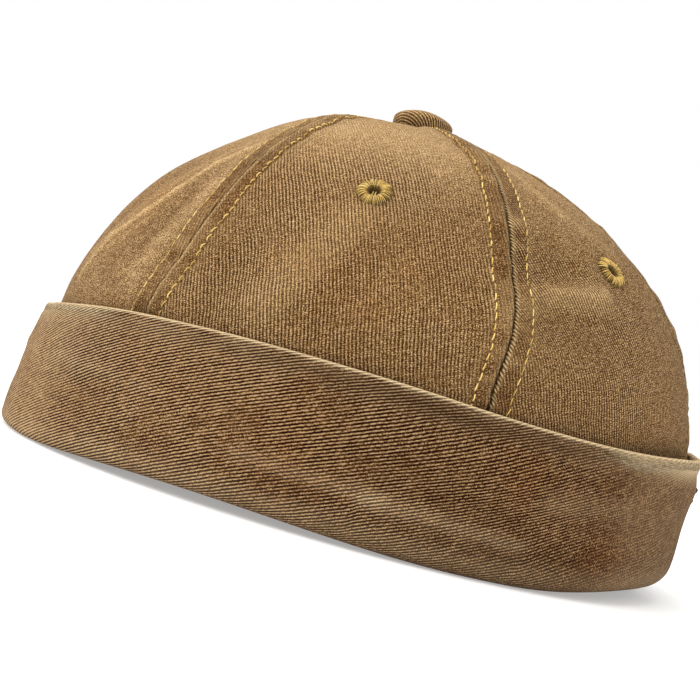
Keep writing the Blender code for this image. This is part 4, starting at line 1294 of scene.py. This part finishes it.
    # the inside is paler at the top of the back: painted light over the shade in the hollow behind the crown
    pale_inside_painted_light = 0.12 + 0.55 * smooth((z - hi[:, None] + 7.0) / 4.0) * smooth((U - 515.0) / 20.0)
    marks_and_shade = np.stack([wear * (1 - inside) + pale_inside_painted_light * inside, np.clip(dirt_and_shade, 0, 1), tint * (1 - inside)], -1)
    shown = np.interp(U, (0.0, 40.0, 90.0, 330.0, 352.0, 372.0, 392.0, 425.0, 470.0, 490.0, 520.0, 531.0, 541.0, 558.0), (0.25, 0.4, 1.0, 1.0, 0.72, 0.86, 1.24, 1.0, 1.0, 0.78, 0.60, 0.32, 0.12, 0.25)) \
        * np.where(q < n_bead, 1.0, 0.7)[None]
    rolled = (0.72 * smooth((1.05 + 1.7 * ends - below + 0.35 * n_a) / (0.8 + ends)) + (0.16 + 0.12 * ends + 0.20 * smooth((U - 520.0) / 16.0)) * smooth((3.0 + 2.6 * ends - below) / 2.8)
              + 0.26 * smooth((9.0 - below) / 8.0) * smooth((U - 520.0) / 18.0)) \
        * np.where(q < n_bead + 1, 1.0, 0.0)[None]
    left, right = smooth((388.0 - U) / 22.0) * smooth((U - 320.0) / 30.0), smooth((U - 533.0) / 12.0)
    # painted light and shade: lighter at the left end, darker towards the back and towards the bottom, paler again at
    # the right end
    tone = 0.42 * left - 0.36 * smooth((U - 425.0) / 50.0) + 0.08 * smooth((U - 505.0) / 25.0) + 0.24 * right - 0.34 * smooth((16.0 - z) / 9.0) * smooth((U - 380.0) / 60.0)
    form = np.stack([shown + 0 * z, rolled, tone * np.where(q < n_bead, 1.0, 0.0)[None]], -1)
    faces = grid_faces(stations, m, wrap_rows=True, wrap_cols=True)
    ob = build("cloth_cuff", P.reshape(-1, 3), faces, CUFF, weave.reshape(-1, 3), marks_and_shade.reshape(-1, 3), 70.0, form=form.reshape(-1, 3))
    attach(ob, "root")
    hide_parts("cuff")
    return ob


# ------------------------------------------------------------ button
BUTTON = twill("button_twill", (0.96, 0.0, 0.7, -0.1),
               (linear(54, 30, 10), linear(110, 75, 38)), (linear(162, 125, 76), linear(234, 200, 146)),
               linear(216, 188, 142), linear(196, 150, 84), 1.3, 1.0, 0.20, waver=0.15, gain=0.74, ribs=0.75, dots=0.15, dash=0.30)


def top_button():
    seg = 108
    h = BUTTON_TOP - BUTTON_BASE
    radius = BUTTON_R + 0.3
    prof = [(radius * math.sin(a) ** 0.96, BUTTON_BASE + 0.50 * h + 0.50 * h * math.cos(a)) for a in np.linspace(0, math.pi / 2, 24)]
    prof += [(radius * 0.5 * (1 + math.cos(a)) + (radius - 1.3) * 0.5 * (1 - math.cos(a)), BUTTON_BASE + 0.50 * h * (1 - math.sin(a)))
             for a in np.linspace(0, math.pi / 2, 9)[1:]]
    prof += [(BUTTON_R - 3.0, BUTTON_BASE - 0.1), (2.5, BUTTON_BASE + 0.2), (2.3, 116.1), (6.2, 115.5), (6.2, 114.6), (0.0, 114.6)]
    arc = [0.0]
    for (r0, z0), (r1, z1) in zip(prof, prof[1:]):
        arc.append(arc[-1] + math.hypot(r1 - r0, z1 - z0))
    verts, weave, marks_and_shade, index = [], [], [], []
    face_dir = math.radians(148.0)
    off_x, off_y = 0.30, -1.30          # the button sits a little to one side
    for j, ((r, z), s) in enumerate(zip(prof, arc)):
        if r < 1e-6:
            index.append([len(verts)] * seg)
            side = 1.0 if j < 33 else 0.0
            verts.append((off_x * side, CENTRE_Y + off_y * side, z - 0.45 * side))
            weave.append((0.0, 0.0, 11.0))
            marks_and_shade.append((0.25, 0.0, 0.0))
            continue
        index.append(list(range(len(verts), len(verts) + seg)))
        for i in range(seg):
            a = 2 * math.pi * i / seg
            low = max(0.0, min(1.0, (BUTTON_BASE + 0.55 * h - z) / (0.5 * h))) if j < 33 else 0.0
            pleat = 0.14 * low * (math.sin(17 * a + 1.3 * math.sin(3 * a)) + 0.5 * math.sin(29 * a + 2.0))
            dent = 0.10 * math.sin(2 * a + 0.7) * min(1.0, s / 6) if j < 33 else 0.0
            rr = r + pleat + dent * (1 - low)
            side = 1.0 if j < 33 else 0.0
            verts.append((rr * math.cos(a) + off_x * side, rr * math.sin(a) + CENTRE_Y + off_y * side, z - 0.45 * side + (0.10 * math.sin(3 * a + 1.0) * min(1.0, s / 5) if j < 30 else 0.0)))
            weave.append((s * math.cos(a - face_dir), s * math.sin(a - face_dir), 11.0))
            top = max(0.0, 1 - s / 9.5)
            # painted shade on the lower side of the button
            under = max(0.0, min(1.0, (BUTTON_BASE + 0.80 * h - z) / (0.7 * h))) if j < 33 else 1.0
            marks_and_shade.append((0.06 + 0.34 * top, 0.62 * under ** 1.2, 0.1))
    faces = []
    for j in range(len(prof) - 1):
        p, q = index[j], index[j + 1]
        for k in range(seg):
            f = [p[k], p[(k + 1) % seg], q[(k + 1) % seg], q[k]]
            f = [v for i, v in enumerate(f) if v not in f[:i]]
            if len(f) > 2:
                faces.append(f)
    ob = build("cloth_button", verts, faces, BUTTON, weave, marks_and_shade, 70.0, form=np.tile([0.9, 0.0, 0.1], (len(verts), 1)))
    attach(ob, "root")
    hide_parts("top_button")
    return ob


# ------------------------------------------------------------ back strap and buckle
def strap():
    side = BUCKLE_W / 2 - BUCKLE_BAR / 2
    us = np.concatenate([np.linspace(-STRAP_HALF, -STRAP_HALF + 0.8, 5), np.linspace(-STRAP_HALF + 1.2, STRAP_HALF - 1.2, 72),
                         np.linspace(STRAP_HALF - 0.8, STRAP_HALF, 5)])
    ws = STRAP_H / 2 * np.concatenate([[-1.0, -0.985, -0.96, -0.92], np.linspace(-0.88, 0.88, 34), [0.92, 0.96, 0.985, 1.0]])
    over = STRAP_OFF + BUCKLE_THICK + 0.3
    hump = smooth((2.6 - np.abs(np.abs(us) - side)) / 1.6)
    low = STRAP_OFF + (over - STRAP_OFF) * hump
    U, W = np.meshgrid(us, ws, indexing="ij")
    L = np.broadcast_to(low[:, None], U.shape)
    edge = np.minimum(STRAP_HALF - np.abs(U), STRAP_H / 2 - np.abs(W))
    rounding = np.sqrt(np.clip(1 - np.clip(1 - edge / 0.55, 0, 1) ** 2, 0, 1))
    row = np.abs(STRAP_H / 2 - np.abs(W) - 1.7)
    beat = 0.6 + 0.4 * np.cos(2 * np.pi * U / STITCH_PITCH)
    puff = 0.10 * gauss(STRAP_H / 2 - np.abs(W) - 0.9, 0.5) + 0.05 * noise3(np.stack([U, W, U * 0], -1), 5.0, 31)
    thick = STRAP_THICK * (0.52 + 0.48 * rounding) + (puff - 0.16 * gauss(row, 0.35) * beat) * rounding
    outer = back_point(U, STRAP_Z + W, L + thick)
    inner = back_point(U, STRAP_Z + W, L + STRAP_THICK * 0.5 * (1 - rounding))
    rows, cols = U.shape
    v = np.concatenate([outer.reshape(-1, 3), inner.reshape(-1, 3)])
    off = rows * cols
    f = grid_faces(rows, cols) + grid_faces(rows, cols, off, flip=True)
    loop = [(0, c) for c in range(cols)] + [(r, cols - 1) for r in range(1, rows)] \
        + [(rows - 1, c) for c in range(cols - 2, -1, -1)] + [(r, 0) for r in range(rows - 2, 0, -1)]
    ids = [r * cols + c for r, c in loop]
    f += [(ids[(i + 1) % len(ids)], a, off + a, off + ids[(i + 1) % len(ids)]) for i, a in enumerate(ids)]
    lean = math.radians(20.0)
    w = np.stack([U * math.cos(lean) + W * math.sin(lean), -U * math.sin(lean) + W * math.cos(lean), np.full_like(U, 13.0)], -1).reshape(-1, 3)
    wear = 0.45 * gauss(edge - 0.3, 0.4) + 0.10
    # painted shade along the stitch rows and where the buckle's side bars cross
    dirt_and_shade = 0.25 * gauss(row, 0.45) + 0.30 * smooth((1.6 - np.abs(np.abs(U) - side)) / 1.2) * 0.4
    a = np.stack([wear, dirt_and_shade, np.zeros_like(U)], -1).reshape(-1, 3)
    ob = build("cloth_back_strap", v, f, STRAP, np.concatenate([w, w]), np.concatenate([a, a * 0.4]), 60.0,
               form=np.tile([0.9, 0.0, 0.0], (len(v), 1)))
    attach(ob, "root")
    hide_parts("back_strap")
    # its topstitching
    paths = []
    top = np.max(L, 1)
    for sign in (-1, 1):
        w0 = sign * (STRAP_H / 2 - 1.7)
        n = int((2 * STRAP_HALF - 3.0) / STITCH_PITCH)
        for i in range(n):
            u0 = -STRAP_HALF + 1.5 + i * STITCH_PITCH
            q = np.linspace(0, 1, 8)
            uu = u0 + q * STITCH_LENGTH
            if abs(abs(u0 + 1.0) - 0.0) < 1.6:
                continue
            lo = np.interp(uu, us, low)
            rise = -0.22 + 0.46 * np.sin(np.pi * q) ** 0.55
            paths.append(back_point(uu, STRAP_Z + w0 + (q - 0.5) * 0.15, lo + STRAP_THICK - 0.14 + rise))
    for end in (-1, 1):
        u1 = end * (STRAP_HALF - 1.5)
        n = int((STRAP_H - 3.8) / STITCH_PITCH)
        for i in range(n):
            w0 = -STRAP_H / 2 + 2.1 + i * STITCH_PITCH
            q = np.linspace(0, 1, 8)
            rise = -0.22 + 0.46 * np.sin(np.pi * q) ** 0.55
            paths.append(back_point(np.full(8, u1), STRAP_Z + w0 + q * STITCH_LENGTH, STRAP_OFF + STRAP_THICK - 0.02 + rise))
    v, f, w = tubes(np.array(paths), THREAD_R)
    w[:, 2] += 500
    ob2 = build("stitches_back_strap", v, f, THREAD, w, np.zeros_like(w), 80.0)
    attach(ob2, "root")
    return ob


def section_tube(path_u, path_w, path_off, half, thick, closed):
    """Flat bar with rounded edges along a path in strap coordinates."""
    path = np.stack([path_u, path_w], -1)
    if closed:
        tan = np.roll(path, -1, 0) - np.roll(path, 1, 0)
    else:
        tan = np.gradient(path, axis=0)
    tan /= np.linalg.norm(tan, axis=1, keepdims=True)
    nor = np.stack([-tan[:, 1], tan[:, 0]], -1)
    ang = np.arange(16) * 2 * np.pi / 16
    ca, sa = np.cos(ang), np.sin(ang)
    sx = np.sign(ca) * np.abs(ca) ** 0.6 * half
    sy = np.sign(sa) * np.abs(sa) ** 0.75 * thick / 2 + thick / 2
    u = path[:, 0:1] + nor[:, 0:1] * sx[None]
    w = path[:, 1:2] + nor[:, 1:2] * sx[None]
    off = np.asarray(path_off)[:, None] + sy[None]
    bent = smooth((w - 8.3) / 1.9) * smooth((-u + 1.0) / 7.5)
    p = back_point(u, STRAP_Z + w + 1.3 * bent, off + 1.30 * bent)
    faces = grid_faces(len(path), 16, wrap_rows=closed, wrap_cols=True)
    if not closed:
        faces.append(list(range(15, -1, -1)))
        faces.append(list(range((len(path) - 1) * 16, len(path) * 16)))
    edge = np.abs(ca) ** 2
    wear = np.broadcast_to((0.25 + 0.75 * np.clip(sa, 0, 1) * edge * 1.6)[None], u.shape)
    return p.reshape(-1, 3), faces, wear.reshape(-1)


def buckle():
    bu, bw, half = BUCKLE_W / 2 - BUCKLE_BAR / 2, BUCKLE_H / 2 - BUCKLE_BAR / 2, BUCKLE_BAR / 2
    r = 1.5
    path = []
    for cx, cw, a0 in ((bu - r, bw - r, 0.0), (-bu + r, bw - r, 90.0), (-bu + r, -bw + r, 180.0), (bu - r, -bw + r, 270.0)):
        for a in np.radians(np.linspace(a0, a0 + 90.0, 8)):
            path.append((cx + r * math.cos(a), cw + r * math.sin(a)))
    pts = []
    for i, p in enumerate(path):
        q = path[(i + 1) % len(path)]
        n = max(1, int(math.hypot(q[0] - p[0], q[1] - p[1]) / 0.9))
        pts += [(p[0] + (q[0] - p[0]) * k / n, p[1] + (q[1] - p[1]) * k / n) for k in range(n)]
    pts = np.array(pts)
    v, f, wear = section_tube(pts[:, 0], pts[:, 1], np.full(len(pts), STRAP_OFF + 0.02), half, BUCKLE_THICK, True)
    marks_and_shade = np.stack([wear, wear * 0, wear * 0], -1)
    frame_ob = build("buckle_frame", v, f, METAL, np.zeros_like(v), marks_and_shade, 50.0)
    # middle bar, arched over the strap
    w = np.linspace(-bw - 0.1, bw + 0.1, 60)
    arch = STRAP_OFF + 0.05 + (STRAP_THICK + 0.45) * smooth((bw - np.abs(w) + 0.1) / 1.7)
    v2, f2, wear2 = section_tube(np.zeros(60), w, arch, half * 0.95, BUCKLE_THICK, False)
    age2 = np.stack([wear2, wear2 * 0, wear2 * 0], -1)
    bar = build("buckle_bar", v2, f2, METAL, np.zeros_like(v2), age2, 50.0)
    mod = frame_ob.modifiers.new("join", "BOOLEAN")
    mod.operation, mod.solver, mod.object = "UNION", "EXACT", bar
    bpy.context.view_layer.update()
    got = bpy.data.meshes.new_from_object(frame_ob.evaluated_get(bpy.context.evaluated_depsgraph_get()))
    frame_ob.modifiers.clear()
    frame_ob.data = got
    bpy.data.objects.remove(bar, do_unlink=True)
    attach(frame_ob, "root")
    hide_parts("back_buckle")
    return frame_ob


STRAP = twill("strap_twill", (0.80, 20.0, 0.6, -0.1),
              (linear(52, 30, 12), linear(104, 72, 42)), (linear(156, 122, 86), linear(214, 184, 144)),
              linear(204, 180, 146), linear(186, 138, 66), 1.1, 0.9, 0.18)

panels = [Panel(name, a, b, i) for i, (name, a, b, et, ez) in enumerate(PANELS)]
for p in panels:
    p.make()
    stitches(p)
    if p.hole is not None:
        eyelet(p)
cuff()
top_button()
strap()
buckle()


# ------------------------------------------------------------ stage, light and camera
def stage():
    m = Shader("pale_floor", roughness=0.9, specular=0.1)
    m.bsdf.inputs["Base Color"].default_value = (0.72, 0.72, 0.718, 1.0)
    m.bsdf.inputs["Emission Color"].default_value = (1.0, 1.0, 1.0, 1.0)
    m.bsdf.inputs["Emission Strength"].default_value = 0.34
    bm = bmesh.new()
    bmesh.ops.create_grid(bm, x_segments=2, y_segments=2, size=30.0)
    mesh = bpy.data.meshes.new("floor")
    bm.to_mesh(mesh)
    bm.free()
    floor = bpy.data.objects.new("floor", mesh)
    floor.location.z = -0.0001
    bpy.context.scene.collection.objects.link(floor)
    mesh.materials.append(m.mat)


def lights():
    world = bpy.data.worlds.new("studio")
    bpy.context.scene.world = world
    world.use_nodes = True
    tree = world.node_tree
    bg = tree.nodes["Background"]
    # white round the horizon, softer overhead
    where = tree.nodes.new("ShaderNodeTexCoord")
    parts = tree.nodes.new("ShaderNodeSeparateXYZ")
    tree.links.new(where.outputs["Generated"], parts.inputs[0])
    fall = tree.nodes.new("ShaderNodeMapRange")
    fall.interpolation_type = "SMOOTHSTEP"
    for key, value in (("From Min", 0.42), ("From Max", 0.62), ("To Min", 1.0), ("To Max", 0.85)):
        fall.inputs[key].default_value = value
    tree.links.new(parts.outputs[2], fall.inputs["Value"])
    tree.links.new(fall.outputs["Result"], bg.inputs["Strength"])
    bg.inputs["Color"].default_value = (1.0, 1.0, 1.0, 1.0)
    for name, azimuth, elevation, power, spread, tone in (
            ("key", 22.0, 60.0, 3.3, 80.0, (1.0, 0.985, 0.96)),
            ("fill", 100.0, 40.0, 0.25, 90.0, (1.0, 1.0, 1.0))):
        lamp = bpy.data.lights.new(name, "SUN")
        lamp.energy, lamp.angle, lamp.color = power, math.radians(spread), tone
        ob = bpy.data.objects.new(name, lamp)
        a, e = math.radians(azimuth), math.radians(elevation)
        d = Vector((math.sin(a) * math.cos(e), -math.cos(a) * math.cos(e), math.sin(e)))
        ob.rotation_euler = d.to_track_quat("Z", "Y").to_euler()
        ob.location = d * 2
        bpy.context.scene.collection.objects.link(ob)
    view = bpy.context.scene.view_settings
    view.view_transform = "Standard"
    view.look = "None"


def camera():
    azimuth, distance, height, yaw, pitch, roll, focal = 102.806, 339.798, 37.818, -0.910, 1.597, 14.812, 1093.08
    a, y, p, q = (math.radians(v) for v in (azimuth, yaw, pitch, roll))
    at = np.array([distance * math.sin(a), -distance * math.cos(a) + CENTRE_Y, height])
    f, r, u = -np.array([math.sin(a), -math.cos(a), 0.0]), np.array([math.cos(a), math.sin(a), 0.0]), np.array([0, 0, 1.0])
    f2, r2 = math.cos(y) * f + math.sin(y) * r, -math.sin(y) * f + math.cos(y) * r
    f3, u3 = math.cos(p) * f2 + math.sin(p) * u, -math.sin(p) * f2 + math.cos(p) * u
    r4, u4 = math.cos(q) * r2 + math.sin(q) * u3, -math.sin(q) * r2 + math.cos(q) * u3
    cam = bpy.data.cameras.new("camera")
    cam.sensor_width, cam.sensor_fit = 36.0, "HORIZONTAL"
    cam.lens = focal * 36.0 / 700.0
    cam.clip_start, cam.clip_end = 0.01, 100.0
    ob = bpy.data.objects.new("camera", cam)
    m = Matrix.Identity(4)
    for k in range(3):
        m[k][0], m[k][1], m[k][2], m[k][3] = r4[k], u4[k], -f3[k], at[k] * MM
    ob.matrix_world = m
    bpy.context.scene.collection.objects.link(ob)
    bpy.context.scene.camera = ob


stage()
lights()
camera()
